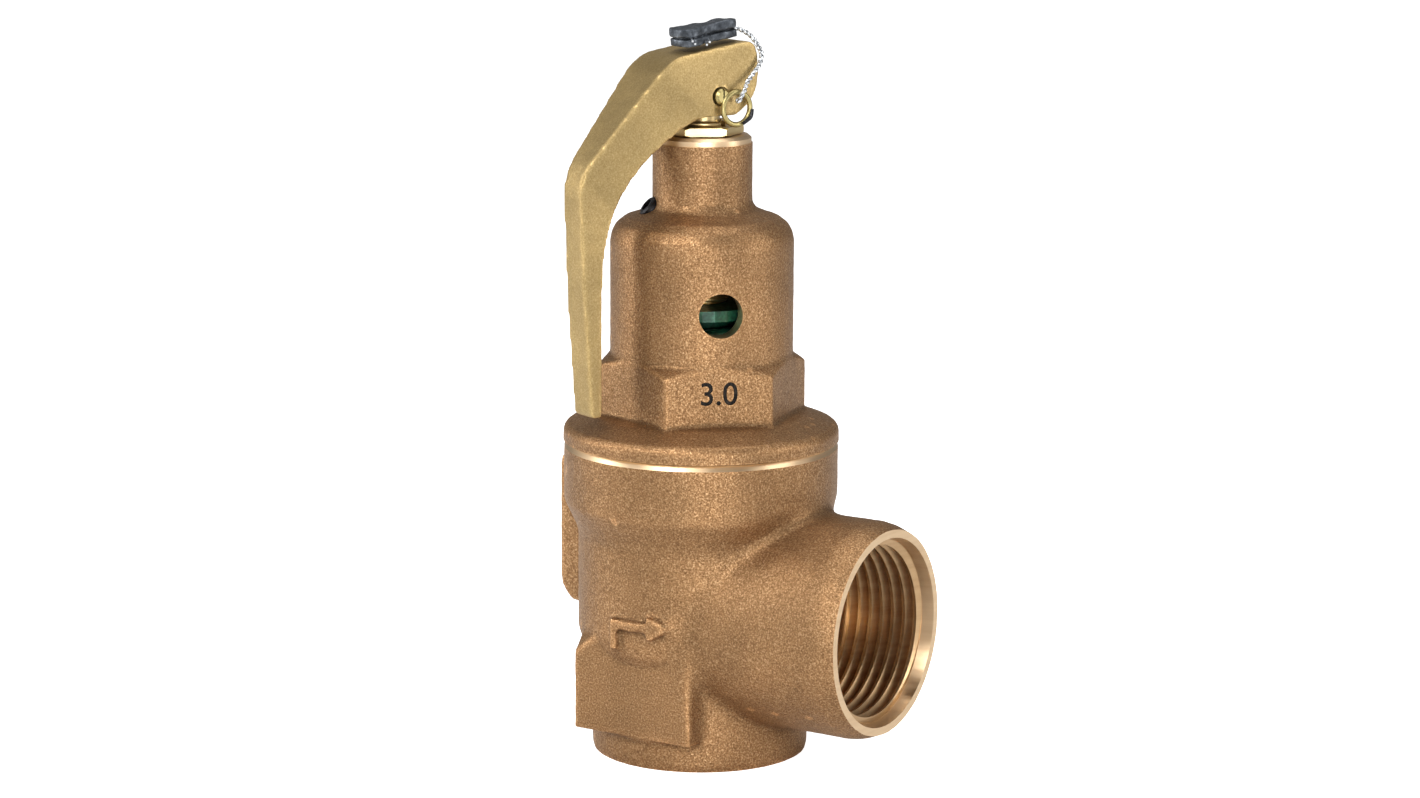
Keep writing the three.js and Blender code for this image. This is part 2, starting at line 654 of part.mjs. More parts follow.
const valve = new THREE.Group();
valve.add(makeBody(), makeBonnet(), makeLockScrew(), makeAdjustingScrew(), makeLocknut());
valve.add(makeDiaphragm(), makeSlipRing(), makeDiaphragmWasher());
valve.add(makeDiscHolder(), makeDiscSeal(), makeSealWasher(), makeDiscScrew());
valve.add(makeSpindle(), makeLowerSpringPlate(), makeSpring(), makeUpperSpringPlate());

const leverGroup = new THREE.Group();
leverGroup.rotation.z = radians(leverAngle);
leverGroup.add(makeLever(), makeSplitPin(), makeLeadSeal(), makeSealWire());
valve.add(leverGroup);

export default valve;
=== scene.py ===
import json
import bpy
from math import atan2, cos, hypot, pi, radians, sin, sqrt
from mathutils import Matrix, Vector


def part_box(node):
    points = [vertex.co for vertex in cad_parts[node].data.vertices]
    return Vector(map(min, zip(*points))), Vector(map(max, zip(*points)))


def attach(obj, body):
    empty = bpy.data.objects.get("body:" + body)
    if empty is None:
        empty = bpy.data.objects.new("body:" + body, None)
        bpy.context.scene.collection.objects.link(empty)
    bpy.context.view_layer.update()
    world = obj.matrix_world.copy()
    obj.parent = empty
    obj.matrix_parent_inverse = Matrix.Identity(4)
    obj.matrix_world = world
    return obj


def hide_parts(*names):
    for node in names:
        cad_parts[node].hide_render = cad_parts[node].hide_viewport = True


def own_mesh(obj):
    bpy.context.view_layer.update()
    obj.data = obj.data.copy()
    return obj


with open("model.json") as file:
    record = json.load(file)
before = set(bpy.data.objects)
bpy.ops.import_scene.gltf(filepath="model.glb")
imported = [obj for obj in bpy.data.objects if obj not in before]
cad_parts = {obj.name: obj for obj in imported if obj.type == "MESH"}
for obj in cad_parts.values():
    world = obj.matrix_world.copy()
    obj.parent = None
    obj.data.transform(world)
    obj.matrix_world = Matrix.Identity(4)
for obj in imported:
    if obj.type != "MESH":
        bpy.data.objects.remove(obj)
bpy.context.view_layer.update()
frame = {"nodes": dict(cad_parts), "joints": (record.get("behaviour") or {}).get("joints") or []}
mm = 0.001
print("frame loaded")

# places taken from the frame
bodyLow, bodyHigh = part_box("body")
bonnetLow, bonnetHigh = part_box("bonnet")
nutLow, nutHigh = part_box("locknut")
seamHeight = bodyHigh.z
outletReach = bodyHigh.x
neckTop = bonnetHigh.z
leverJoint = [joint for joint in frame["joints"] if joint["name"] == "lever_pivot"][0]
liftJoint = [joint for joint in frame["joints"] if joint["name"] == "spindle_lift"][0]
pinHeight = leverJoint["pos_m"][2]
pinAxis = -Vector(leverJoint["axis"])  # towards the near cheek
leverAngle = atan2(pinAxis.y, pinAxis.x) - pi / 2
leverTurn = Matrix.Rotation(leverAngle, 4, "Z")


# ---- small tools used by every piece

def clearSelection():
    for item in list(bpy.context.selected_objects):
        item.select_set(False)


def activate(piece):
    clearSelection()
    piece.select_set(True)
    bpy.context.view_layer.objects.active = piece


def applyModifier(piece, kind, **settings):
    activate(piece)
    modifier = piece.modifiers.new(kind.lower(), kind)
    for key, value in settings.items():
        setattr(modifier, key, value)
    bpy.ops.object.modifier_apply(modifier=modifier.name)


def combine(piece, tool, operation, solver="EXACT"):
    applyModifier(piece, "BOOLEAN", object=tool, operation=operation, solver=solver, material_mode="TRANSFER") \
        if solver == "EXACT" else applyModifier(piece, "BOOLEAN", object=tool, operation=operation, solver=solver)
    bpy.data.objects.remove(tool)


def settle(piece):
    # turns and moves go in to the mesh, so that the object stays at the origin
    activate(piece)
    bpy.ops.object.transform_apply(location=True, rotation=True, scale=True)


def turnMesh(piece, matrix):
    piece.matrix_world = matrix
    settle(piece)


def drawLine(name, points):
    # one vertex is extruded from point to point
    clearSelection()
    bpy.ops.mesh.primitive_plane_add(size=mm)
    piece = bpy.context.object
    piece.name = name
    bpy.ops.object.mode_set(mode="EDIT")
    bpy.ops.mesh.select_all(action="SELECT")
    bpy.ops.mesh.merge(type="CENTER")
    bpy.ops.transform.translate(value=points[0])
    for here, there in zip(points, points[1:]):
        bpy.ops.mesh.extrude_region_move(TRANSFORM_OT_translate={"value": Vector(there) - Vector(here)})
    return piece


def finishMesh(merge=0.002 * mm):
    bpy.ops.mesh.select_all(action="SELECT")
    bpy.ops.mesh.remove_doubles(threshold=merge)
    bpy.ops.mesh.normals_make_consistent(inside=False)
    bpy.ops.object.mode_set(mode="OBJECT")


def turnedPiece(name, profile, steps=128):
    # profile: (radius, height) in millimetres, spun about Z
    piece = drawLine(name, [(radius * mm, 0, height * mm) for radius, height in profile])
    bpy.ops.mesh.select_all(action="SELECT")
    bpy.ops.mesh.spin(steps=steps, angle=2 * pi, center=(0, 0, 0), axis=(0, 0, 1))
    finishMesh()
    return piece


def extrudedPiece(name, outline, thickness):
    # outline: (x, z) in millimetres, made thick about y = 0
    half = thickness * mm / 2
    piece = drawLine(name, [(x * mm, -half, z * mm) for x, z in outline])
    bpy.ops.mesh.select_all(action="SELECT")
    bpy.ops.mesh.edge_face_add()
    bpy.ops.mesh.extrude_region_move(TRANSFORM_OT_translate={"value": (0, 2 * half, 0)})
    finishMesh()
    return piece


def curvedCorners(corners, steps=5):
    # each corner is (x, z, setback), rounded with a quadratic curve
    outline = []
    for index, (x, z, setback) in enumerate(corners):
        corner = Vector((x, z))
        last = Vector(corners[index - 1][:2])
        following = Vector(corners[(index + 1) % len(corners)][:2])
        before = corner + (last - corner).normalized() * setback
        after = corner + (following - corner).normalized() * setback
        for step in range(steps + 1):
            t = step / steps
            outline.append(before * (1 - t) ** 2 + corner * 2 * t * (1 - t) + after * t ** 2)
    return [(point.x, point.y) for point in outline]


def bezierPoints(start, first, second, end, steps):
    points = []
    for step in range(1, steps + 1):
        t = step / steps
        points.append(tuple(
            a * (1 - t) ** 3 + 3 * b * t * (1 - t) ** 2 + 3 * c * t ** 2 * (1 - t) + d * t ** 3
            for a, b, c, d in zip(start, first, second, end)
        ))
    return points


def smoothPath(points, steps):
    # a Catmull-Rom curve through the points
    ends = [2 * points[0] - points[1]] + points + [2 * points[-1] - points[-2]]
    path = []
    for index in range(len(points) - 1):
        a, b, c, d = ends[index:index + 4]
        for step in range(steps):
            t = step / steps
            path.append(0.5 * (2 * b + (c - a) * t + (2 * a - 5 * b + 4 * c - d) * t ** 2 + (3 * b - a - 3 * c + d) * t ** 3))
    return path + [points[-1]]


def wirePiece(name, points, radius, sides=4, closed=False):
    curve = bpy.data.curves.new(name, "CURVE")
    curve.dimensions = "3D"
    curve.bevel_depth = radius
    curve.bevel_resolution = sides
    curve.use_fill_caps = True
    spline = curve.splines.new("POLY")
    spline.points.add(len(points) - 1)
    for place, point in zip(spline.points, points):
        place.co = (*point, 1)
    spline.use_cyclic_u = closed
    piece = bpy.data.objects.new(name, curve)
    bpy.context.scene.collection.objects.link(piece)
    activate(piece)
    bpy.ops.object.convert(target="MESH")
    bpy.ops.object.mode_set(mode="EDIT")
    finishMesh()
    return piece


def joinPieces(pieces):
    activate(pieces[0])
    for piece in pieces[1:]:
        piece.select_set(True)
    bpy.ops.object.join()
    return bpy.context.object


def soften(piece, voxel, rounds, factor=0.5):
    # one skin over the joined shapes, then relaxed as a casting's edges are
    applyModifier(piece, "REMESH", mode="VOXEL", voxel_size=voxel * mm)
    applyModifier(piece, "SMOOTH", factor=factor, iterations=rounds)


def softenNear(piece, rounds, weightAt):
    group = piece.vertex_groups.new(name="fillet")
    for vertex in piece.data.vertices:
        weight = weightAt(vertex.co / mm)
        if weight > 0:
            group.add([vertex.index], min(1, weight), "REPLACE")
    applyModifier(piece, "SMOOTH", factor=0.5, iterations=rounds, vertex_group="fillet")
    piece.vertex_groups.remove(piece.vertex_groups["fillet"])


def roughen(piece, name, size, depth):
    texture = bpy.data.textures.new(name, "CLOUDS")
    texture.noise_scale = size * mm
    texture.noise_depth = 1
    applyModifier(piece, "DISPLACE", texture=texture, strength=depth * mm, mid_level=0.5, texture_coords="LOCAL")


def shade(piece, angle=40):
    activate(piece)
    bpy.ops.object.shade_smooth_by_angle(angle=radians(angle))


def dress(piece, *materials):
    piece.data.materials.clear()
    for material in materials:
        piece.data.materials.append(material)


def ringWave(radius, drop, steps, start, end):
    # points of an arc between two angles, in degrees
    return [
        (radius * cos(radians(start + (end - start) * step / steps)),
         drop + radius * sin(radians(start + (end - start) * step / steps)))
        for step in range(steps + 1)
    ]


# ---- camera, floor and light

camera = {
    "distance": 0.5071, "height": 0.1478, "azimuth": 57.14, "yaw": 0.138, "pitch": 10.88, "roll": 0.307,
    "lens": 92.6,
}


def addCamera(settings):
    data = bpy.data.cameras.new("camera")
    data.lens = settings["lens"]
    data.sensor_width = 36
    data.clip_start = 0.01
    eye = bpy.data.objects.new("camera", data)
    bpy.context.scene.collection.objects.link(eye)
    azimuth = radians(settings["azimuth"])
    place = Vector((cos(azimuth), -sin(azimuth), 0)) * settings["distance"]
    place.z = settings["height"]
    heading = radians(90) - azimuth
    turn = (
        Matrix.Rotation(heading - radians(settings["yaw"]), 4, "Z")
        @ Matrix.Rotation(radians(90 - settings["pitch"]), 4, "X")
        @ Matrix.Rotation(radians(settings["roll"]), 4, "Z")
    )
    eye.matrix_world = Matrix.Translation(place) @ turn
    bpy.context.scene.camera = eye


def addLamp(name, place, target, size, power, colour=(1, 1, 1)):
    data = bpy.data.lights.new(name, "AREA")
    data.shape = "RECTANGLE"
    data.size, data.size_y = size
    data.energy = power
    data.color = colour
    lamp = bpy.data.objects.new(name, data)
    bpy.context.scene.collection.objects.link(lamp)
    aim = (Vector(target) - Vector(place)).to_track_quat("-Z", "Y").to_matrix().to_4x4()
    lamp.matrix_world = Matrix.Translation(place) @ aim


def addWorld(strength):
    world = bpy.data.worlds.new("studio")
    bpy.context.scene.world = world
    world.use_nodes = True
    nodes, links = world.node_tree.nodes, world.node_tree.links
    nodes.clear()
    output = nodes.new("ShaderNodeOutputWorld")
    soft = nodes.new("ShaderNodeBackground")
    soft.inputs["Color"].default_value = (1, 1, 1, 1)
    soft.inputs["Strength"].default_value = strength
    white = nodes.new("ShaderNodeBackground")
    white.inputs["Color"].default_value = (1, 1, 1, 1)
    white.inputs["Strength"].default_value = 1
    rays = nodes.new("ShaderNodeLightPath")
    mix = nodes.new("ShaderNodeMixShader")
    links.new(rays.outputs["Is Camera Ray"], mix.inputs["Fac"])
    links.new(soft.outputs["Background"], mix.inputs[1])
    links.new(white.outputs["Background"], mix.inputs[2])
    links.new(mix.outputs["Shader"], output.inputs["Surface"])


def addFloor(size):
    clearSelection()
    bpy.ops.mesh.primitive_plane_add(size=size)
    floor = bpy.context.object
    floor.name = "floor"
    material = bpy.data.materials.new("floorPaper")
    material.use_nodes = True
    nodes, links = material.node_tree.nodes, material.node_tree.links
    nodes.clear()
    output = nodes.new("ShaderNodeOutputMaterial")
    paper = nodes.new("ShaderNodeBsdfDiffuse")
    paper.inputs["Color"].default_value = (0.9, 0.9, 0.9, 1)
    lift = nodes.new("ShaderNodeEmission")
    lift.inputs["Strength"].default_value = 0.88
    rays = nodes.new("ShaderNodeLightPath")
    seen = nodes.new("ShaderNodeMixShader")
    dark = nodes.new("ShaderNodeBsdfTransparent")
    dark.inputs["Color"].default_value = (0, 0, 0, 1)
    both = nodes.new("ShaderNodeAddShader")
    links.new(rays.outputs["Is Camera Ray"], seen.inputs["Fac"])
    links.new(dark.outputs["BSDF"], seen.inputs[1])
    links.new(lift.outputs["Emission"], seen.inputs[2])
    links.new(seen.outputs["Shader"], both.inputs[0])
    links.new(paper.outputs["BSDF"], both.inputs[1])
    links.new(both.outputs["Shader"], output.inputs["Surface"])
    floor.data.materials.append(material)


addCamera(camera)
addWorld(0.22)
addFloor(4)
addLamp("key", (0.05, -0.62, 0.55), (0, 0, 0.06), (0.28, 0.28), 3.8)
addLamp("bounce", (0.42, -0.5, 0.05), (0, 0, 0.02), (0.35, 0.08), 1.5)
addLamp("leftStrip", (-0.6, -0.35, 0.25), (0, 0, 0.05), (0.16, 0.7), 3)
addLamp("rightStrip", (0.62, 0.2, 0.25), (0, 0, 0.05), (0.16, 0.7), 2.2)
addLamp("top", (0.0, 0.1, 0.7), (0, 0, 0.05), (0.4, 0.4), 1.8)
bpy.context.scene.view_settings.view_transform = "Standard"
print("camera, floor and light ready")


# ---- materials

def newGroup(name, inputs, outputs):
    group = bpy.data.node_groups.new(name, "ShaderNodeTree")
    for label, kind, value in inputs:
        socket = group.interface.new_socket(label, in_out="INPUT", socket_type=kind)
        socket.default_value = value
    for label, kind in outputs:
        group.interface.new_socket(label, in_out="OUTPUT", socket_type=kind)
    return group, group.nodes.new("NodeGroupInput"), group.nodes.new("NodeGroupOutput")


def makeGrainAndPaintedEdgeLightGroup():
    # pits and glints of a sand-cast or tumbled skin; edges lightened, partly as wear and partly as painted highlight,
    # and crevices darkened as painted shade
    group, given, result = newGroup(
        "castGrainAndPaintedEdgeLight",
        [
            ("Grain", "NodeSocketFloat", 3000), ("Patch", "NodeSocketFloat", 120),
            ("Dark", "NodeSocketColor", (0.2, 0.1, 0.05, 1)), ("Body", "NodeSocketColor", (0.4, 0.25, 0.13, 1)),
            ("Glint", "NodeSocketColor", (0.8, 0.6, 0.35, 1)), ("Dull", "NodeSocketFloat", 0.6),
            ("Shine", "NodeSocketFloat", 0.35),
        ],
        [("Color", "NodeSocketColor"), ("Roughness", "NodeSocketFloat"), ("Height", "NodeSocketFloat")],
    )
    nodes, links = group.nodes, group.links
    place = nodes.new("ShaderNodeTexCoord")
    fine = nodes.new("ShaderNodeTexNoise")
    fine.inputs["Detail"].default_value = 3
    fine.inputs["Roughness"].default_value = 0.6
    coarse = nodes.new("ShaderNodeTexNoise")
    coarse.inputs["Detail"].default_value = 4
    pits = nodes.new("ShaderNodeTexVoronoi")
    pits.feature = "F1"
    links.new(place.outputs["Object"], fine.inputs["Vector"])
    links.new(place.outputs["Object"], coarse.inputs["Vector"])
    links.new(place.outputs["Object"], pits.inputs["Vector"])
    links.new(given.outputs["Grain"], fine.inputs["Scale"])
    links.new(given.outputs["Grain"], pits.inputs["Scale"])
    links.new(given.outputs["Patch"], coarse.inputs["Scale"])
    darkRamp = nodes.new("ShaderNodeMapRange")
    darkRamp.inputs["From Min"].default_value = 0.3
    darkRamp.inputs["From Max"].default_value = 0.58
    links.new(fine.outputs["Fac"], darkRamp.inputs["Value"])
    firstMix = nodes.new("ShaderNodeMix")
    firstMix.data_type = "RGBA"
    links.new(darkRamp.outputs["Result"], firstMix.inputs["Factor"])
    links.new(given.outputs["Dark"], firstMix.inputs["A"])
    links.new(given.outputs["Body"], firstMix.inputs["B"])
    glintRamp = nodes.new("ShaderNodeMapRange")
    glintRamp.inputs["From Min"].default_value = 0.54
    glintRamp.inputs["From Max"].default_value = 0.8
    links.new(fine.outputs["Fac"], glintRamp.inputs["Value"])
    secondMix = nodes.new("ShaderNodeMix")
    secondMix.data_type = "RGBA"
    links.new(glintRamp.outputs["Result"], secondMix.inputs["Factor"])
    links.new(firstMix.outputs["Result"], secondMix.inputs["A"])
    links.new(given.outputs["Glint"], secondMix.inputs["B"])
    patchRamp = nodes.new("ShaderNodeMapRange")
    patchRamp.inputs["From Min"].default_value = 0.3
    patchRamp.inputs["From Max"].default_value = 0.7
    patchRamp.inputs["To Min"].default_value = 0.82
    patchRamp.inputs["To Max"].default_value = 1.12
    links.new(coarse.outputs["Fac"], patchRamp.inputs["Value"])
    tone = nodes.new("ShaderNodeVectorMath")
    tone.operation = "SCALE"
    links.new(secondMix.outputs["Result"], tone.inputs[0])
    links.new(patchRamp.outputs["Result"], tone.inputs["Scale"])
    # pointiness scales the colour: edges lighter (partly wear, partly painted highlight), crevices darker as painted
    # shade
    shape = nodes.new("ShaderNodeNewGeometry")
    edgeWearHighlightCreviceShade = nodes.new("ShaderNodeMapRange")
    edgeWearHighlightCreviceShade.inputs["From Min"].default_value = 0.44
    edgeWearHighlightCreviceShade.inputs["From Max"].default_value = 0.58
    edgeWearHighlightCreviceShade.inputs["To Min"].default_value = 0.45
    edgeWearHighlightCreviceShade.inputs["To Max"].default_value = 1.6
    links.new(shape.outputs["Pointiness"], edgeWearHighlightCreviceShade.inputs["Value"])
    wornLitAndShadedTone = nodes.new("ShaderNodeVectorMath")
    wornLitAndShadedTone.operation = "SCALE"
    links.new(tone.outputs["Vector"], wornLitAndShadedTone.inputs[0])
    links.new(edgeWearHighlightCreviceShade.outputs["Result"], wornLitAndShadedTone.inputs["Scale"])
    links.new(wornLitAndShadedTone.outputs["Vector"], result.inputs["Color"])
    rough = nodes.new("ShaderNodeMapRange")
    links.new(fine.outputs["Fac"], rough.inputs["Value"])
    rough.inputs["From Min"].default_value = 0.35
    rough.inputs["From Max"].default_value = 0.65
    links.new(given.outputs["Dull"], rough.inputs["To Min"])
    links.new(given.outputs["Shine"], rough.inputs["To Max"])
    links.new(rough.outputs["Result"], result.inputs["Roughness"])
    height = nodes.new("ShaderNodeMath")
    height.operation = "MULTIPLY_ADD"
    links.new(pits.outputs["Distance"], height.inputs[0])
    height.inputs[1].default_value = 0.5
    links.new(fine.outputs["Fac"], height.inputs[2])
    links.new(height.outputs["Value"], result.inputs["Height"])
    return group


def makeTurnedGroup():
    # fine lathe lines across one axis, with small scuffs
    group, given, result = newGroup(
        "latheLines",
        [
            ("Lines", "NodeSocketFloat", 4000), ("Body", "NodeSocketColor", (0.7, 0.5, 0.28, 1)),
            ("Edge", "NodeSocketColor", (0.85, 0.68, 0.42, 1)), ("Stretch", "NodeSocketVector", (0.02, 0.02, 1)),
            ("Polish", "NodeSocketFloat", 0.25),
        ],
        [("Color", "NodeSocketColor"), ("Roughness", "NodeSocketFloat"), ("Height", "NodeSocketFloat")],
    )
    nodes, links = group.nodes, group.links
    place = nodes.new("ShaderNodeTexCoord")
    squeeze = nodes.new("ShaderNodeVectorMath")
    squeeze.operation = "MULTIPLY"
    links.new(place.outputs["Object"], squeeze.inputs[0])
    links.new(given.outputs["Stretch"], squeeze.inputs[1])
    lines = nodes.new("ShaderNodeTexNoise")
    lines.inputs["Detail"].default_value = 3
    links.new(squeeze.outputs["Vector"], lines.inputs["Vector"])
    links.new(given.outputs["Lines"], lines.inputs["Scale"])
    scuff = nodes.new("ShaderNodeTexNoise")
    scuff.inputs["Scale"].default_value = 350
    scuff.inputs["Detail"].default_value = 5
    links.new(place.outputs["Object"], scuff.inputs["Vector"])
    colour = nodes.new("ShaderNodeMix")
    colour.data_type = "RGBA"
    links.new(lines.outputs["Fac"], colour.inputs["Factor"])
    links.new(given.outputs["Body"], colour.inputs["A"])
    links.new(given.outputs["Edge"], colour.inputs["B"])
    links.new(colour.outputs["Result"], result.inputs["Color"])
    rough = nodes.new("ShaderNodeMapRange")
    rough.inputs["To Max"].default_value = 0.5
    links.new(scuff.outputs["Fac"], rough.inputs["Value"])
    links.new(given.outputs["Polish"], rough.inputs["To Min"])
    links.new(rough.outputs["Result"], result.inputs["Roughness"])
    links.new(lines.outputs["Fac"], result.inputs["Height"])
    return group


def metalMaterial(name, group, values, metallic, bump, distance):
    material = bpy.data.materials.new(name)
    material.use_nodes = True
    nodes, links = material.node_tree.nodes, material.node_tree.links
    shader = nodes["Principled BSDF"]
    effect = nodes.new("ShaderNodeGroup")
    effect.node_tree = group
    for label, value in values.items():
        effect.inputs[label].default_value = value
    shader.inputs["Metallic"].default_value = metallic
    links.new(effect.outputs["Color"], shader.inputs["Base Color"])
    links.new(effect.outputs["Roughness"], shader.inputs["Roughness"])
    dents = nodes.new("ShaderNodeBump")
    dents.inputs["Strength"].default_value = bump
    dents.inputs["Distance"].default_value = distance * mm
    links.new(effect.outputs["Height"], dents.inputs["Height"])
    links.new(dents.outputs["Normal"], shader.inputs["Normal"])
    return material


castGrainAndPaintedEdgeLight = makeGrainAndPaintedEdgeLightGroup()
latheLines = makeTurnedGroup()
castBronze = metalMaterial("castBronze", castGrainAndPaintedEdgeLight, {
    "Grain": 4200, "Patch": 90, "Dark": (0.17, 0.083, 0.036, 1), "Body": (0.38, 0.214, 0.096, 1),
    "Glint": (0.72, 0.47, 0.26, 1), "Dull": 0.56, "Shine": 0.4,
}, 0.9, 0.6, 0.09)
leverBrass = metalMaterial("leverBrass", castGrainAndPaintedEdgeLight, {
    "Grain": 4200, "Patch": 120, "Dark": (0.36, 0.25, 0.10, 1), "Body": (0.46, 0.33, 0.145, 1),
    "Glint": (0.58, 0.44, 0.21, 1), "Dull": 0.52, "Shine": 0.44,
}, 0.9, 0.25, 0.04)
machinedBronze = metalMaterial("machinedBronze", latheLines, {
    "Body": (0.62, 0.42, 0.24, 1), "Edge": (0.85, 0.65, 0.42, 1), "Lines": 1400,
}, 1, 0.1, 0.02)
turnedBrass = metalMaterial("turnedBrass", latheLines, {
    "Body": (0.60, 0.44, 0.20, 1), "Edge": (0.78, 0.62, 0.34, 1), "Lines": 1800,
}, 1, 0.1, 0.02)
steelWire = metalMaterial("steelWire", latheLines, {
    "Body": (0.5, 0.52, 0.54, 1), "Edge": (0.8, 0.82, 0.84, 1), "Lines": 900, "Stretch": (1, 1, 1), "Polish": 0.2,
}, 1, 0.1, 0.02)
leadSkin = metalMaterial("leadSkin", castGrainAndPaintedEdgeLight, {
    "Grain": 900, "Patch": 160, "Dark": (0.035, 0.04, 0.048, 1), "Body": (0.085, 0.095, 0.11, 1),
    "Glint": (0.2, 0.22, 0.25, 1), "Dull": 0.55, "Shine": 0.38,
}, 0.75, 0.4, 0.08)
greenCoat = metalMaterial("greenCoat", castGrainAndPaintedEdgeLight, {
    "Grain": 1500, "Patch": 150, "Dark": (0.004, 0.03, 0.018, 1), "Body": (0.008, 0.07, 0.038, 1),
    "Glint": (0.02, 0.12, 0.07, 1), "Dull": 0.45, "Shine": 0.3,
}, 0.2, 0.1, 0.02)
# black oxide of the lock screw; also the near-black painted shade on the split pin's cut end
blackOxideAndPaintedShade = metalMaterial("blackOxideAndPaintedShade", castGrainAndPaintedEdgeLight, {
    "Grain": 1800, "Patch": 150, "Dark": (0.006, 0.006, 0.007, 1), "Body": (0.012, 0.012, 0.014, 1),
    "Glint": (0.04, 0.04, 0.045, 1), "Dull": 0.5, "Shine": 0.35,
}, 0.5, 0.2, 0.02)
softRubber = metalMaterial("softRubber", castGrainAndPaintedEdgeLight, {
    "Grain": 900, "Patch": 100, "Dark": (0.008, 0.008, 0.009, 1), "Body": (0.016, 0.016, 0.017, 1),
    "Glint": (0.03, 0.03, 0.03, 1), "Dull": 0.8, "Shine": 0.65,
}, 0, 0.2, 0.03)
whiteSeal = metalMaterial("whiteSeal", castGrainAndPaintedEdgeLight, {
    "Grain": 700, "Patch": 100, "Dark": (0.62, 0.6, 0.55, 1), "Body": (0.72, 0.7, 0.65, 1),
    "Glint": (0.8, 0.78, 0.73, 1), "Dull": 0.6, "Shine": 0.45,
}, 0, 0.1, 0.02)
# machined bronze made darker for the tapped threads inside the bores, as painted shade
threadBronzePaintedShade = metalMaterial("threadBronzePaintedShade", latheLines, {
    "Body": (0.42, 0.26, 0.13, 1), "Edge": (0.66, 0.46, 0.26, 1), "Lines": 1400,
}, 1, 0.1, 0.02)
pinBrass = metalMaterial("pinBrass", latheLines, {
    "Body": (0.34, 0.27, 0.10, 1), "Edge": (0.5, 0.42, 0.2, 1), "Lines": 900, "Stretch": (1, 1, 1), "Polish": 0.3,
}, 1, 0.1, 0.02)
steelPlate = metalMaterial("steelPlate", latheLines, {
    "Body": (0.45, 0.45, 0.46, 1), "Edge": (0.68, 0.68, 0.7, 1), "Lines": 1600, "Polish": 0.3,
}, 1, 0.1, 0.02)
# near-black painted shade for the recess of the stamped figures
stampPaintedShade = metalMaterial("stampPaintedShade", castGrainAndPaintedEdgeLight, {
    "Grain": 2600, "Patch": 200, "Dark": (0.01, 0.007, 0.004, 1), "Body": (0.035, 0.022, 0.012, 1),
    "Glint": (0.08, 0.05, 0.028, 1), "Dull": 0.75, "Shine": 0.6,
}, 0.3, 0.3, 0.03)
print("materials ready")


# ---- body casting

body = {
    "inletBoss": 15.37, "waist": 17.4, "upper": 19.4, "skin": 0.4, "grainDepth": 0.1,
    "seatBore": 9.0, "seatTop": 20.3, "floor": 17.2, "chamber": 14.4, "socket": 17.0, "ledge": 35.98,
    "boss": 15.32, "bossHeight": 20.67, "bossFace": 14.4, "boreEnd": 16.52, "port": 7.77, "portHeight": 24.97,
    "flatLeft": 10.9, "flatRight": 8.5, "flatDistance": 15.95, "flatBottom": 4.3,
    "padHalfWidth": 6.3, "padFace": 20.0, "arrowRelief": 1.0, "arrowTail": -3.4, "arrowLength": 9.9,
    "filletWidth": 3.4, "filletRounds": 70,
}
thread = {
    "pitch": 1.814, "root": 13.22, "crest": 12.06, "depth": 14.4, "mouth": 13.3, "leadIn": 1.7,
    "crestFlat": 0.3, "rootFlat": 0.25,
}
top = seamHeight / mm
reach = outletReach / mm
spare = 1.6  # stock left for facing
toOutlet = Matrix.Translation((0, 0, body["bossHeight"] * mm)) @ Matrix.Rotation(pi / 2, 4, "Y")


def bodyColumn(s):
    return turnedPiece("castBody", [
        (0, -spare), (s["inletBoss"] - 0.3, -spare), (s["inletBoss"] - 0.25, 0), (s["inletBoss"], 0.6),
        (s["inletBoss"], s["floor"] - 4.0),
        (s["inletBoss"] + 0.4, s["floor"] - 2.8), (s["waist"] - 0.3, s["floor"] - 0.6),
        (s["waist"], s["floor"] + 0.6), (s["waist"], s["ledge"] - 4.4), (s["waist"] + 0.4, s["ledge"] - 3.0),
        (s["upper"] - 0.4, s["ledge"] - 0.6), (s["upper"], s["ledge"] + 0.3), (s["upper"], top + spare), (0, top + spare),
    ], 96)


def outletBoss(s):
    boss = turnedPiece("boss", [
        (0, 2), (s["boss"], 2), (s["boss"], reach - 3.4), (s["boss"] - 0.15, reach - 2.2),
        (s["boss"] - 0.5, reach - 1.0), (s["bossFace"], reach), (s["bossFace"] - 0.3, reach + spare), (0, reach + spare),
    ], 96)
    turnMesh(boss, toOutlet)
    return boss


def wrenchFlats(s):
    highest = s["floor"] + 1.4
    height = highest - s["flatBottom"]
    middle = ((s["flatRight"] - s["flatLeft"]) / 2 * mm, 0, (s["flatBottom"] + height / 2) * mm)
    clearSelection()
    bpy.ops.mesh.primitive_cube_add(size=mm, location=middle)
    block = bpy.context.object
    block.scale = (s["flatLeft"] + s["flatRight"], 2 * s["flatDistance"], height)
    settle(block)
    corner = hypot(s["flatLeft"], s["flatDistance"])
    combine(block, turnedPiece("blockCone", [
        (0, 0), (corner + 1, 0), (corner + 1, highest - 4.6), (s["waist"] - 0.4, highest), (0, highest),
    ], 96), "INTERSECT")
    return block


def backPad(s):
    bottom = s["seatTop"] - 0.5
    return extrudedPiece("pad", curvedCorners([
        (0, bottom, 0.5), (0, top - 3.2, 0.5), (-s["padFace"], top - 3.2, 1.2), (-s["padFace"], bottom + 2.2, 1.0),
        (-s["padFace"] + 2.0, bottom, 0.8),
    ]), 2 * s["padHalfWidth"])


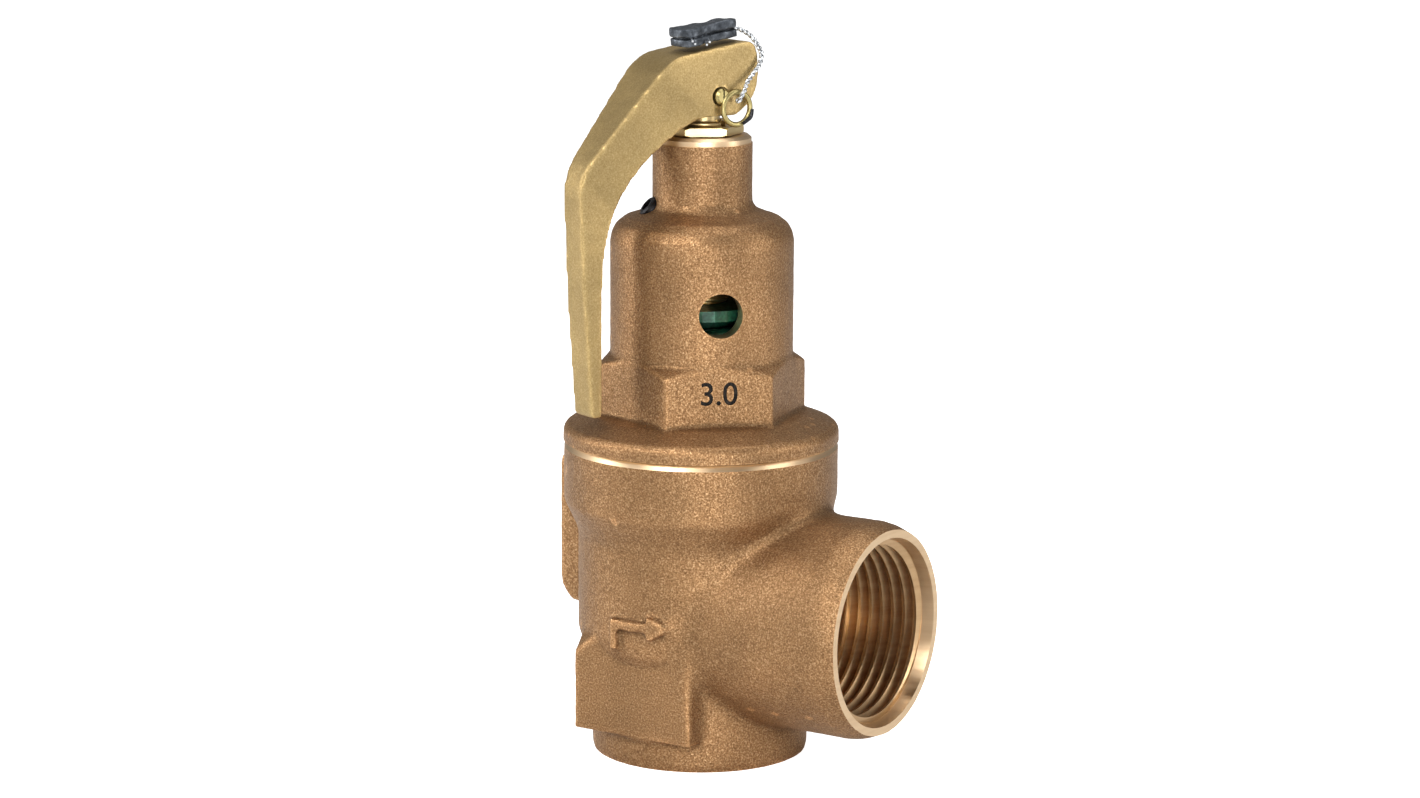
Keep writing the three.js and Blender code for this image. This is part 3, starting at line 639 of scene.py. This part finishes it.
def flowArrow(s):
    tail = s["arrowTail"]
    tip = tail + s["arrowLength"]
    neck = tip - 3.8
    barHeight = s["seatTop"] + 0.9
    arrow = extrudedPiece("arrow", [
        (tail, barHeight - 3.9), (tail + 1.0, barHeight - 3.9), (tail + 1.0, barHeight - 0.85),
        (neck, barHeight - 0.85), (neck, barHeight - 2.1), (tip, barHeight), (neck, barHeight + 1.7),
        (neck, barHeight + 0.45), (tail, barHeight + 0.45),
    ], s["waist"])
    turnMesh(arrow, Matrix.Translation((0, -s["waist"] * mm, 0)))
    face = s["waist"] + s["arrowRelief"]
    combine(arrow, turnedPiece("arrowFace", [
        (0, barHeight - 5), (face, barHeight - 5), (face, barHeight + 5), (0, barHeight + 5),
    ], 96), "INTERSECT")
    return arrow


def bodyHollow(s):
    chamber = turnedPiece("chamberBore", [
        (0, thread["depth"] - 1), (s["seatBore"], thread["depth"] - 1), (s["seatBore"], s["seatTop"]),
        (s["seatBore"] + 1.1, s["seatTop"]), (s["seatBore"] + 2, s["seatTop"] - 1), (s["seatBore"] + 2, s["floor"]),
        (s["chamber"], s["floor"]), (s["chamber"], s["ledge"]), (s["socket"], s["ledge"]),
        (s["socket"], top + 1), (0, top + 1),
    ], 128)
    port = turnedPiece("portBore", [
        (0, s["chamber"] - 2.4), (s["port"], s["chamber"] - 2.4), (s["port"], s["boreEnd"] + 1), (0, s["boreEnd"] + 1),
    ], 64)
    turnMesh(port, Matrix.Translation((0, 0, s["portHeight"] * mm)) @ Matrix.Rotation(pi / 2, 4, "Y"))
    inlet = threadBore("inletBore", thread["depth"])
    turnMesh(inlet, Matrix.Rotation(pi, 4, "X"))
    outlet = threadBore("outletBore", reach - s["boreEnd"])
    turnMesh(outlet, toOutlet @ Matrix.Translation((0, 0, outletReach)))
    return [inlet, chamber, outlet, port]


def threadBore(name, depth):
    # a tapping-size hole that runs down from z = 0, opened at its mouth
    return turnedPiece(name, [
        (0, 2), (thread["mouth"], 2), (thread["mouth"], 0), (thread["root"] - 0.3, -thread["leadIn"]),
        (thread["root"], -thread["leadIn"] - 0.3), (thread["root"], -depth), (0, -depth),
    ], 128)


def threadRidge(name, spec, depth, inwards=True, steps=96):
    # one closed tooth, carried round and down by a screw; the callers trim it to the mouth
    pitch = spec["pitch"]
    side = 1 if inwards else -1
    foot = spec["root"] + 0.12 * side
    halfFoot = (pitch - spec["rootFlat"]) / 2
    halfTip = spec["crestFlat"] / 2
    tooth = drawLine(name, [(radius * mm, 0, height * mm) for radius, height in (
        (foot, -halfFoot), (spec["root"], -halfFoot), (spec["crest"], -halfTip), (spec["crest"], halfTip),
        (spec["root"], halfFoot), (foot, halfFoot), (foot, -halfFoot),
    )])
    finishMesh()
    turns = int(depth / pitch) + 1
    applyModifier(tooth, "SCREW", screw_offset=-pitch * mm, iterations=turns, steps=steps, render_steps=steps,
                  use_merge_vertices=True, merge_threshold=0.001 * mm)
    bpy.ops.object.mode_set(mode="EDIT")
    bpy.ops.mesh.select_all(action="SELECT")
    bpy.ops.mesh.fill_holes(sides=12)
    finishMesh()
    return tooth


def tappedThread(name, depth, matrix):
    ridge = threadRidge(name, thread, depth)
    start = thread["leadIn"]
    combine(ridge, turnedPiece("threadTrim", [
        (0, -start), (thread["crest"] + 0.9, -start), (thread["root"] + 0.5, -start - 0.3),
        (thread["root"] + 0.5, -depth + 0.1), (0, -depth + 0.1),
    ], 128), "INTERSECT")
    turnMesh(ridge, matrix)
    # the threads take the darker bronze as painted shade inside the bore
    dress(ridge, threadBronzePaintedShade)
    shade(ridge, 25)
    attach(ridge, "valve")


def nearBossRoot(s):
    # how near a point is to the hollow where the outlet boss leaves the waist
    def weight(point):
        if point.x < 5:
            return 0
        fromAxis = abs(hypot(point.x, point.y) - s["waist"] - 0.6)
        fromBoss = abs(hypot(point.y, point.z - s["bossHeight"]) - s["boss"] - 0.4)
        return 1.5 - max(fromAxis, fromBoss) / s["filletWidth"]
    return weight


def machinedFaces(s):
    outletFacing = turnedPiece("outletFacing", [
        (0, reach), (s["boss"] + 4, reach), (s["boss"] + 4, reach + 4), (0, reach + 4),
    ], 128)
    turnMesh(outletFacing, toOutlet)
    inletFacing = turnedPiece("inletFacing", [(0, -4), (30, -4), (30, 0), (0, 0)], 128)
    seam = turnedPiece("seamChamfer", [
        (0, top), (s["upper"] - 0.5, top), (s["upper"] - 0.06, top - 0.75), (s["upper"] + 4, top - 0.85),
        (s["upper"] + 4, top + 4), (0, top + 4),
    ], 192)
    return [outletFacing, inletFacing, seam]


def makeBody(s):
    casting = joinPieces([bodyColumn(s), outletBoss(s), wrenchFlats(s), backPad(s), flowArrow(s)])
    soften(casting, s["skin"], 2)
    softenNear(casting, s["filletRounds"], nearBossRoot(s))
    roughen(casting, "bodySand", 1.5, s["grainDepth"])
    dress(casting, castBronze)
    for cutter in machinedFaces(s) + bodyHollow(s):
        dress(cutter, machinedBronze)
        combine(casting, cutter, "DIFFERENCE")
    shade(casting, 35)
    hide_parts("body")
    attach(casting, "valve")


makeBody(body)
tappedThread("outletThread", reach - body["boreEnd"], toOutlet @ Matrix.Translation((0, 0, outletReach)))
tappedThread("inletThread", thread["depth"], Matrix.Rotation(pi, 4, "X"))
print("body cast, machined and tapped")


# ---- bonnet casting

bonnet = {
    "spigotBottom": bonnetLow.z / mm, "spigot": 16.7, "flange": 19.5, "hexBase": 48.88, "hexTop": 56.98,
    "acrossFlats": 26.0, "hexFace": -46.5, "barrel": 12.9, "barrelTop": 73.18, "neckBase": 77.78, "neck": 7.0,
    "springBore": 9.9, "neckBore": 4.1, "window": 3.1, "windowHeight": 64.28, "windowAngle": -45,
    "machinedBand": 1.1, "skin": 0.3, "stamp": "3.0", "stampHeight": 53.3, "stampSize": 4.5, "stampDepth": 0.4,
}


def hexagonPiece(name, acrossFlats, bottom, height, faceAngle):
    clearSelection()
    bpy.ops.mesh.primitive_cylinder_add(vertices=6, radius=acrossFlats / sqrt(3) * mm, depth=height * mm)
    piece = bpy.context.object
    piece.name = name
    settle(piece)
    # a six-sided cylinder has a corner on +Y, so a flat faces +X
    turnMesh(piece, Matrix.Translation((0, 0, (bottom + height / 2) * mm)) @ Matrix.Rotation(radians(faceAngle), 4, "Z"))
    return piece


def bonnetBlank(s):
    corner = s["acrossFlats"] / sqrt(3)
    shell = turnedPiece("castBonnet", [
        (0, s["spigotBottom"] - spare), (s["spigot"] + 0.6, s["spigotBottom"] - spare), (s["spigot"] + 0.6, top - 0.6),
        (s["flange"], top - 0.6),
        (s["flange"], s["hexBase"] - 2.5), (s["flange"] - 0.5, s["hexBase"] - 1.8), (corner, s["hexBase"] - 0.3),
        (s["barrel"], s["hexBase"]), (s["barrel"], s["barrelTop"]), (s["barrel"] - 0.2, s["barrelTop"] + 1.1),
        (s["barrel"] - 0.85, s["barrelTop"] + 2.3), (s["barrel"] - 2.1, s["barrelTop"] + 3.25),
        (s["barrel"] - 3.6, s["neckBase"] - 0.9), (s["neck"] + 0.7, s["neckBase"] - 0.2),
        (s["neck"], s["neckBase"] + 0.8), (s["neck"], neckTop / mm + spare), (0, neckTop / mm + spare),
    ], 128)
    hex6 = hexagonPiece("bonnetHex", s["acrossFlats"], s["hexBase"] - 1, s["hexTop"] - s["hexBase"] + 1, s["hexFace"])
    combine(hex6, turnedPiece("hexCrown", [
        (0, s["hexBase"] - 1), (corner + 1, s["hexBase"] - 1), (corner + 1, s["hexTop"] - 2.1),
        (s["barrel"] - 0.2, s["hexTop"] + 0.15), (0, s["hexTop"] + 0.15),
    ], 128), "INTERSECT")
    return joinPieces([shell, hex6])


def bonnetHollow(s):
    inside = turnedPiece("springBore", [
        (0, s["spigotBottom"] - 1), (13.4, s["spigotBottom"] - 1), (13.4, top - 3.6), (s["springBore"], top - 1.1),
        (s["springBore"], s["barrelTop"] - 1.7), (s["neckBore"], s["neckBase"] - 2.6),
        (s["neckBore"], neckTop / mm + 1), (0, neckTop / mm + 1),
    ], 96)
    window = turnedPiece("window", [(0, 0), (s["window"], 0), (s["window"], 20), (0, 20)], 64)
    turnMesh(window, Matrix.Translation((0, 0, s["windowHeight"] * mm))
             @ Matrix.Rotation(radians(s["windowAngle"]), 4, "Z") @ Matrix.Rotation(pi / 2, 4, "Y"))
    tapping = turnedPiece("tapping", [(0, -2), (1.65, -2), (1.65, 8), (0, 8)], 32)
    turnMesh(tapping, lockPlace)
    return [inside, window, tapping]


def bonnetFacings(s):
    flange = turnedPiece("flangeFacing", [
        (s["spigot"], s["spigotBottom"] - 4), (s["spigot"], top + 0.2), (s["flange"] + 3, top + 0.2),
        (s["flange"] + 3, s["spigotBottom"] - 4), (s["spigot"], s["spigotBottom"] - 4),
    ], 192)
    band = neckTop / mm - s["machinedBand"]
    neckEnd = turnedPiece("neckEnd", [
        (0, neckTop / mm), (s["neck"] - 0.6, neckTop / mm), (s["neck"] - 0.16, neckTop / mm - 0.4),
        (s["neck"] - 0.16, band), (s["neck"] + 4, band + 0.25), (s["neck"] + 4, neckTop / mm + 4),
        (0, neckTop / mm + 4),
    ], 128)
    spigotEnd = turnedPiece("spigotEnd", [
        (0, s["spigotBottom"] - 5), (25, s["spigotBottom"] - 5), (25, s["spigotBottom"]), (0, s["spigotBottom"]),
    ], 64)
    return [flange, neckEnd, spigotEnd]


def numberStamp(s):
    clearSelection()
    bpy.ops.object.text_add()
    stamp = bpy.context.object
    stamp.data.body = s["stamp"]
    stamp.data.size = s["stampSize"] * mm
    stamp.data.extrude = 2 * s["stampDepth"] * mm
    stamp.data.offset = 0.05 * mm
    stamp.data.resolution_u = 6
    stamp.data.align_x = "CENTER"
    stamp.data.align_y = "CENTER"
    bpy.ops.object.convert(target="MESH")
    bpy.ops.object.mode_set(mode="EDIT")
    finishMesh()
    outwards = s["acrossFlats"] / 2 + s["stampDepth"]
    turnMesh(stamp, Matrix.Rotation(radians(s["hexFace"]), 4, "Z")
             @ Matrix.Translation((outwards * mm, 0, s["stampHeight"] * mm))
             @ Matrix.Rotation(pi / 2, 4, "Z") @ Matrix.Rotation(pi / 2, 4, "X"))
    return stamp


lockScrew = {"angle": -132, "lean": 40, "radius": 1.5, "length": 3.9, "tip": 5.1, "drop": 2.0, "socket": 0.86}
lockPlace = (
    Matrix.Rotation(radians(lockScrew["angle"]), 4, "Z")
    @ Matrix.Translation((lockScrew["tip"] * mm, 0, (bonnet["neckBase"] - lockScrew["drop"]) * mm))
    @ Matrix.Rotation(radians(90 - lockScrew["lean"]), 4, "Y")
)


def makeBonnet(s):
    casting = bonnetBlank(s)
    soften(casting, s["skin"], 3)
    roughen(casting, "bonnetSand", 1.5, 0.08)
    dress(casting, castBronze)
    for cutter in bonnetFacings(s) + bonnetHollow(s):
        dress(cutter, machinedBronze)
        combine(casting, cutter, "DIFFERENCE")
    stamp = numberStamp(s)
    # the stamp's cut faces take the near-black painted shade of the recess
    dress(stamp, stampPaintedShade)
    combine(casting, stamp, "DIFFERENCE")
    shade(casting, 35)
    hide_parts("bonnet")
    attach(casting, "valve")


def makeLockScrew(s):
    screw = turnedPiece("lockScrew", [
        (0, 0.1), (s["radius"] - 0.3, 0.1), (s["radius"], 0.5), (s["radius"], s["length"] - 0.2),
        (s["radius"] - 0.25, s["length"]), (0, s["length"]),
    ], 48)
    combine(screw, hexagonPiece("hexSocket", 2 * s["socket"], s["length"] - 1.4, 3, 0), "DIFFERENCE")
    turnMesh(screw, lockPlace)
    finishTurned(screw, blackOxideAndPaintedShade, "black_oxide", "valve", "lock_screw")


def finishTurned(piece, material, slot, ridesOn, *nodes):
    dress(piece, material)
    shade(piece, 30)
    if nodes:
        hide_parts(*nodes)
    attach(piece, ridesOn)


makeBonnet(bonnet)
makeLockScrew(lockScrew)
print("bonnet cast, bored and stamped")


# ---- adjusting screw, locknut and spindle

screwThread = {"pitch": 1.0, "root": 3.35, "crest": 3.78, "crestFlat": 0.12, "rootFlat": 0.12}
stem = {"spindle": 2.4, "hole": 2.65, "screw": 3.8, "slotWidth": 1.1, "slotDepth": 0.8, "pinHole": 1.4}
screwLow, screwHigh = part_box("adjusting_screw")
spindleLow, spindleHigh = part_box("spindle")


def makeAdjustingScrew(s):
    low, high = screwLow.z / mm, screwHigh.z / mm
    screw = turnedPiece("adjustingScrew", [
        (s["hole"], low), (3.2, low), (3.38, low + 0.2), (3.38, high - 0.25), (3.1, high), (s["hole"], high),
        (s["hole"], low),
    ], 64)
    ridge = threadRidge("screwRidge", screwThread, high - low, inwards=False, steps=48)
    turnMesh(ridge, Matrix.Translation((0, 0, high * mm)))
    combine(ridge, turnedPiece("ridgeTrim", [
        (3.0, low), (3.3, low), (s["screw"], low + 0.5), (s["screw"], high - 0.45), (3.35, high), (3.0, high),
        (3.0, low),
    ], 64), "INTERSECT")
    combine(screw, ridge, "UNION")
    clearSelection()
    bpy.ops.mesh.primitive_cube_add(size=mm, location=(0, 0, high * mm))
    slot = bpy.context.object
    slot.scale = (3 * s["screw"], s["slotWidth"], 2 * s["slotDepth"])
    settle(slot)
    combine(screw, slot, "DIFFERENCE")
    finishTurned(screw, turnedBrass, "machined_brass", "valve", "adjusting_screw")


def makeLocknut(s):
    low, high = nutLow.z / mm, nutHigh.z / mm
    acrossFlats = 10
    corner = acrossFlats / sqrt(3)
    nut = hexagonPiece("lockNut", acrossFlats, low, high - low, -112)
    combine(nut, turnedPiece("nutChamfer", [
        (0, low), (corner - 0.35, low), (corner + 0.1, low + 0.25), (corner + 0.1, high - 0.25),
        (corner - 0.35, high), (0, high),
    ], 96), "INTERSECT")
    combine(nut, turnedPiece("nutHole", [
        (0, low - 1), (s["screw"] + 0.02, low - 1), (s["screw"] + 0.02, high - 0.3), (s["screw"] + 0.35, high),
        (s["screw"] + 0.35, high + 1), (0, high + 1),
    ], 64), "DIFFERENCE")
    finishTurned(nut, turnedBrass, "machined_brass", "valve", "locknut")


def makeSpindle(s):
    low, high = spindleLow.z / mm, spindleHigh.z / mm
    collar = 38.03
    spindle = turnedPiece("spindleRod", [
        (0, low), (s["spindle"] - 0.4, low), (s["spindle"], low + 0.4), (s["spindle"], collar),
        (s["spindle"] + 2.0, collar), (s["spindle"] + 2.2, collar + 0.2), (s["spindle"] + 2.2, collar + 1.8),
        (s["spindle"] + 2.0, collar + 2.0), (s["spindle"], collar + 2.0), (s["spindle"], high - 0.5),
        (s["spindle"] - 0.15, high - 0.2), (s["spindle"] - 0.5, high), (0, high),
    ], 64)
    hole = turnedPiece("pinHole", [(0, -6), (s["pinHole"], -6), (s["pinHole"], 6), (0, 6)], 48)
    turnMesh(hole, leverTurn @ Matrix.Translation((0, 0, pinHeight)) @ Matrix.Rotation(pi / 2, 4, "X"))
    combine(spindle, hole, "DIFFERENCE")
    finishTurned(spindle, turnedBrass, "machined_brass", "spindle_unit", "spindle")


makeAdjustingScrew(stem)
makeLocknut(stem)
makeSpindle(stem)
print("adjusting screw, locknut and spindle turned")


# ---- lever, drawn in its own plane: x runs out from the axis, y along the pin

lever = {
    "inner": 18.21, "tip": 49.88, "elbow": (21.71, 83.78), "corner": (8.2, 99.28), "head": 8.7, "tail": 4.5,
    "slot": 5.4, "skin": 0.28, "hole": 1.4,
}
pin = pinHeight / mm


def curveBy(start, corner, end, steps=6):
    return [
        tuple(a * (1 - t) ** 2 + 2 * b * t * (1 - t) + c * t ** 2 for a, b, c in zip(start, corner, end))
        for t in [step / steps for step in range(1, steps + 1)]
    ]


def leverOutline(s):
    inner, tip = s["inner"], s["tip"]
    elbowX, elbowZ = s["elbow"]
    cornerX, cornerZ = s["corner"]
    line = [(inner, pin - 26), (inner, tip + 0.9)]
    line += curveBy(line[-1], (inner, tip), (inner + 0.9, tip))
    line += curveBy(line[-1], (inner + 1.7, tip), (inner + 1.8, tip + 1.0))
    line += [(inner + 2.9, tip + 16), (elbowX, elbowZ - 3)]
    line += curveBy(line[-1], (elbowX, elbowZ), (elbowX - 2.0, elbowZ + 2.3), 10)
    line += [(cornerX + 2.4, cornerZ - 2.7)]
    line += curveBy(line[-1], (cornerX, cornerZ), (cornerX - 2.6, cornerZ + 0.35), 10)
    line += [(-3.6, pin + 7.35)]
    line += curveBy(line[-1], (-5.6, pin + 7.7), (-6.1, pin + 6.3))
    line += curveBy(line[-1], (-6.8, pin + 3.6), (-6.2, pin + 1.1))
    line += curveBy(line[-1], (-5.6, pin - 1.2), (-2.6, pin - 2.75))
    line += [(2.1, pin - 2.75)]
    line += curveBy(line[-1], (4.4, pin - 3.1), (6.8, pin - 4.65))
    line += bezierPoints(line[-1], (12.6, pin - 8.6), (inner, pin - 14), (inner, pin - 26), 22)[:-1]
    return line


def leverTaper(s):
    # thin beside the tail, thick beside the head, sloping along the limb between them
    elbow, corner = Vector(s["elbow"]), Vector(s["corner"])
    limb = corner - elbow
    far = 70
    half = [(-far, s["tail"] / 2), (0, s["tail"] / 2), (limb.length - 2, s["head"] / 2), (far, s["head"] / 2)]
    outline = half + [(x, -y) for x, y in reversed(half)]
    wedge = extrudedPiece("leverTaper", outline, 2 * far)
    lie = Matrix.Rotation(-atan2(limb.y, limb.x), 4, "Y") @ Matrix.Rotation(-pi / 2, 4, "X")
    turnMesh(wedge, Matrix.Translation((elbow.x * mm, 0, elbow.y * mm)) @ lie)
    return wedge


def makeLever(s):
    forging = extrudedPiece("leverForging", leverOutline(s), s["head"] + 0.1)
    combine(forging, leverTaper(s), "INTERSECT")
    soften(forging, s["skin"], 4)
    roughen(forging, "leverSand", 1.2, 0.05)
    dress(forging, leverBrass)
    swing = hypot(stem["spindle"], spindleHigh.z / mm - pin) + 0.3
    clearSelection()
    bpy.ops.mesh.primitive_cube_add(size=mm, location=((swing - 10) * mm, 0, (pin + swing - 10) * mm))
    slot = bpy.context.object
    slot.scale = (20, s["slot"], 20)
    settle(slot)
    hole = turnedPiece("leverHole", [(0, -9), (s["hole"], -9), (s["hole"], 9), (0, 9)], 48)
    turnMesh(hole, Matrix.Translation((0, 0, pinHeight)) @ Matrix.Rotation(pi / 2, 4, "X"))
    for cutter in (slot, hole):
        dress(cutter, turnedBrass)
        combine(forging, cutter, "DIFFERENCE")
    turnMesh(forging, leverTurn)
    shade(forging, 35)
    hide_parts("lever")
    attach(forging, "lever_unit")


makeLever(lever)
print("lever forged")


# ---- split pin, lead seal and seal wire

splitPin = {"radius": 1.15, "eye": 2.27, "wire": 0.38, "eyeX": -2.2, "eyeDrop": 1.7, "legLength": 3.2}
cheek = lever["head"] / 2


def onLever(x, y, z):
    return Vector((x * mm, y * mm, pinHeight + z * mm))


def makeSplitPin(s):
    eyeY = cheek + 0.3 + 0.36
    shank = turnedPiece("splitPin", [
        (0, -cheek - 1.2), (s["radius"] - 0.2, -cheek - 1.2), (s["radius"], -cheek - 1.0), (s["radius"], cheek + 0.4),
        (s["radius"] - 0.3, cheek + 0.75), (0, cheek + 0.75),
    ], 32)
    turnMesh(shank, Matrix.Translation((0, 0, pinHeight)) @ Matrix.Rotation(-pi / 2, 4, "X"))
    clearSelection()
    bpy.ops.mesh.primitive_cube_add(size=mm, location=(0, 0, pinHeight))
    split = bpy.context.object
    split.scale = (0.22, 4 * cheek, 8)
    settle(split)
    combine(shank, split, "DIFFERENCE")
    ring = [onLever(s["eyeX"] + s["eye"] * cos(a), eyeY, -s["eyeDrop"] + s["eye"] * sin(a))
            for a in [2 * pi * step / 64 for step in range(64)]]
    eye = wirePiece("eye", ring, s["wire"] * mm, 5, closed=True)
    legs = [
        wirePiece("leg", smoothPath([
            onLever(0, -cheek + 0.4, 0), onLever(0.15 * side, -cheek - 0.6, 0),
            onLever(0.9 * side, -cheek - 1.0, 0.2 * side), onLever(s["legLength"] * side, -cheek - 0.95, 0.8 * side),
        ], 8), 0.48 * mm, 4)
        for side in (1, -1)
    ]
    pinPiece = joinPieces([shank, eye] + legs)
    turnMesh(pinPiece, leverTurn)
    finishTurned(pinPiece, pinBrass, "machined_brass", "lever_unit", "split_pin")
    cutEnd = wirePiece("eyeEnd", smoothPath([
        onLever(-2.9, eyeY + 0.55, -3.8), onLever(-3.7, eyeY + 0.6, -3.35), onLever(-4.3, eyeY + 0.55, -2.9),
        onLever(-4.55, eyeY + 0.45, -1.9),
    ], 6), 0.26 * mm, 3)
    turnMesh(cutEnd, leverTurn)
    # the brass eye's cut end is dressed near-black as painted shade, since it sits in shadow behind the ring
    finishTurned(cutEnd, blackOxideAndPaintedShade, "machined_brass", "lever_unit")


leadSeal = {"length": 9.8, "thickness": 2.7, "x": 0.75, "y": 1.5, "rise": 7.35, "tilt": 7, "groove": 0.3}


def sealOutline(s, grow):
    half = s["length"] / 2 - 0.1 + grow
    return curvedCorners([
        (-half, -1.9 - grow, 1.4), (-0.8, -1.45 - grow, 0.9), (half, -3.0 - grow, 2.5), (half, 3.0 + grow, 2.5),
        (-0.8, 1.45 + grow, 0.9), (-half, 1.9 + grow, 1.4),
    ], 6)


def sealSlab(s, grow, bottom, thickness):
    slab = extrudedPiece("slab", sealOutline(s, grow), thickness)
    turnMesh(slab, Matrix.Translation((0, 0, (bottom + thickness / 2) * mm)) @ Matrix.Rotation(pi / 2, 4, "X"))
    return slab


def makeLeadSeal(s):
    # two halves squeezed together, so that a parting line runs round the side
    seal = sealSlab(s, 0, 0.1, s["thickness"] - 0.2)
    rim = sealSlab(s, 2, s["thickness"] * 0.42, s["groove"])
    combine(rim, sealSlab(s, -0.45, 0, s["thickness"]), "DIFFERENCE")
    combine(seal, rim, "DIFFERENCE")
    soften(seal, 0.16, 5)
    roughen(seal, "leadDents", 1.9, 0.42)
    turnMesh(seal, leverTurn @ Matrix.Translation(onLever(s["x"], s["y"], s["rise"]))
             @ Matrix.Rotation(radians(s["tilt"]), 4, "Y"))
    seal.name = "leadSeal"
    dress(seal, leadSkin)
    shade(seal, 50)
    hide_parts("lead_seal")
    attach(seal, "lever_unit")


sealWire = {"strand": 0.175, "lay": 0.185, "twist": 1.5, "stub": 0.16}


def strandsAlong(name, points, spec):
    # two strands laid round a centre line, turning with the length run
    path = smoothPath(points, 14)
    frames = []
    side = Vector((0, 0, 1))
    run = 0
    for index, point in enumerate(path):
        ahead = (path[min(index + 1, len(path) - 1)] - path[max(index - 1, 0)]).normalized()
        side = (side - ahead * side.dot(ahead)).normalized()
        run += (point - path[index - 1]).length if index else 0
        frames.append((point, side.copy(), ahead.cross(side), run))
    strands = []
    for start in (0, pi):
        line = []
        for point, across, upright, length in frames:
            turn = start + 2 * pi * length / (spec["twist"] * mm)
            line.append(point + (across * cos(turn) + upright * sin(turn)) * spec["lay"] * mm)
        strands.append(wirePiece(name, line, spec["strand"] * mm, 2))
    return strands


def makeSealWire(s):
    side = cheek + 0.35 + 0.36
    route = [
        (-3.4, 1.2, 8.9), (-4.7, 1.2, 8.95), (-5.7, 1.6, 8.6), (-6.4, 2.5, 7.9), (-6.75, 3.5, 6.8), (-6.7, 4.6, 5.5),
        (-6.0, side, 4.2), (-4.8, side + 0.1, 2.9), (-3.6, side + 0.45, 1.8), (-2.9, side + 0.95, 1.0),
        (-2.35, side + 0.95, 0.2), (-2.1, side + 0.5, -0.7), (-2.3, side - 0.15, -0.5),
    ]
    strands = strandsAlong("sealWire", [onLever(*point) for point in route], s)
    for x, z, length in ((5.0, 8.35, 0.9), (4.55, 7.9, 0.8), (2.6, 7.7, 0.8), (2.1, 7.95, 0.6)):
        root = onLever(x - 0.7, leadSeal["y"] + 1.6, z)
        tip = onLever(x, leadSeal["y"] + 2.95 + 0.2 * length, z - length * 0.5)
        strands.append(wirePiece("stub", [root, (root + tip) / 2, tip], s["stub"] * mm, 2))
    piece = joinPieces(strands)
    turnMesh(piece, leverTurn)
    finishTurned(piece, steelWire, "seal_wire", "lever_unit", "seal_wire")


makeSplitPin(splitPin)
makeLeadSeal(leadSeal)
makeSealWire(sealWire)
print("split pin, seal and wire made")


# ---- spring

spring = {"wire": 2.5, "mean": 7.05, "bottom": 45.13, "top": 62.63, "turns": 4.5, "closedPitch": 2.62, "lift": 3}


def makeSpring(s):
    start = s["bottom"] + 0.3 * s["wire"]
    rise = s["top"] - s["bottom"] - 0.6 * s["wire"]
    openPitch = (rise - 2 * s["closedPitch"]) / (s["turns"] - 2)
    steps = int(40 * s["turns"])
    line = []
    for step in range(steps + 1):
        turn = s["turns"] * step / steps
        openTurn = min(max(turn - 1, 0), s["turns"] - 2)
        height = start + s["closedPitch"] * (turn - openTurn) + openPitch * openTurn
        angle = 2 * pi * turn
        line.append(Vector((s["mean"] * cos(angle), s["mean"] * sin(angle), height)) * mm)
    coil = wirePiece("springCoil", line, s["wire"] / 2 * mm, 8)
    combine(coil, turnedPiece("springGround", [
        (0, s["bottom"]), (s["mean"] + 3, s["bottom"]), (s["mean"] + 3, s["top"]), (0, s["top"]),
    ], 48), "INTERSECT")
    finishTurned(coil, greenCoat, "spring_green", "valve", "spring")
    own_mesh(coil)


makeSpring(spring)
print("spring wound")


# ---- pieces whose shape is already right keep it and take a finish

keptFinishes = {
    "diaphragm": softRubber, "slip_ring": steelPlate, "diaphragm_washer": steelPlate, "disc_holder": turnedBrass,
    "disc_seal": whiteSeal, "seal_washer": steelPlate, "disc_screw": steelPlate, "lower_spring_plate": turnedBrass,
    "upper_spring_plate": greenCoat,
}
for node, material in keptFinishes.items():
    dress(frame["nodes"][node], material)
print("inner pieces finished")
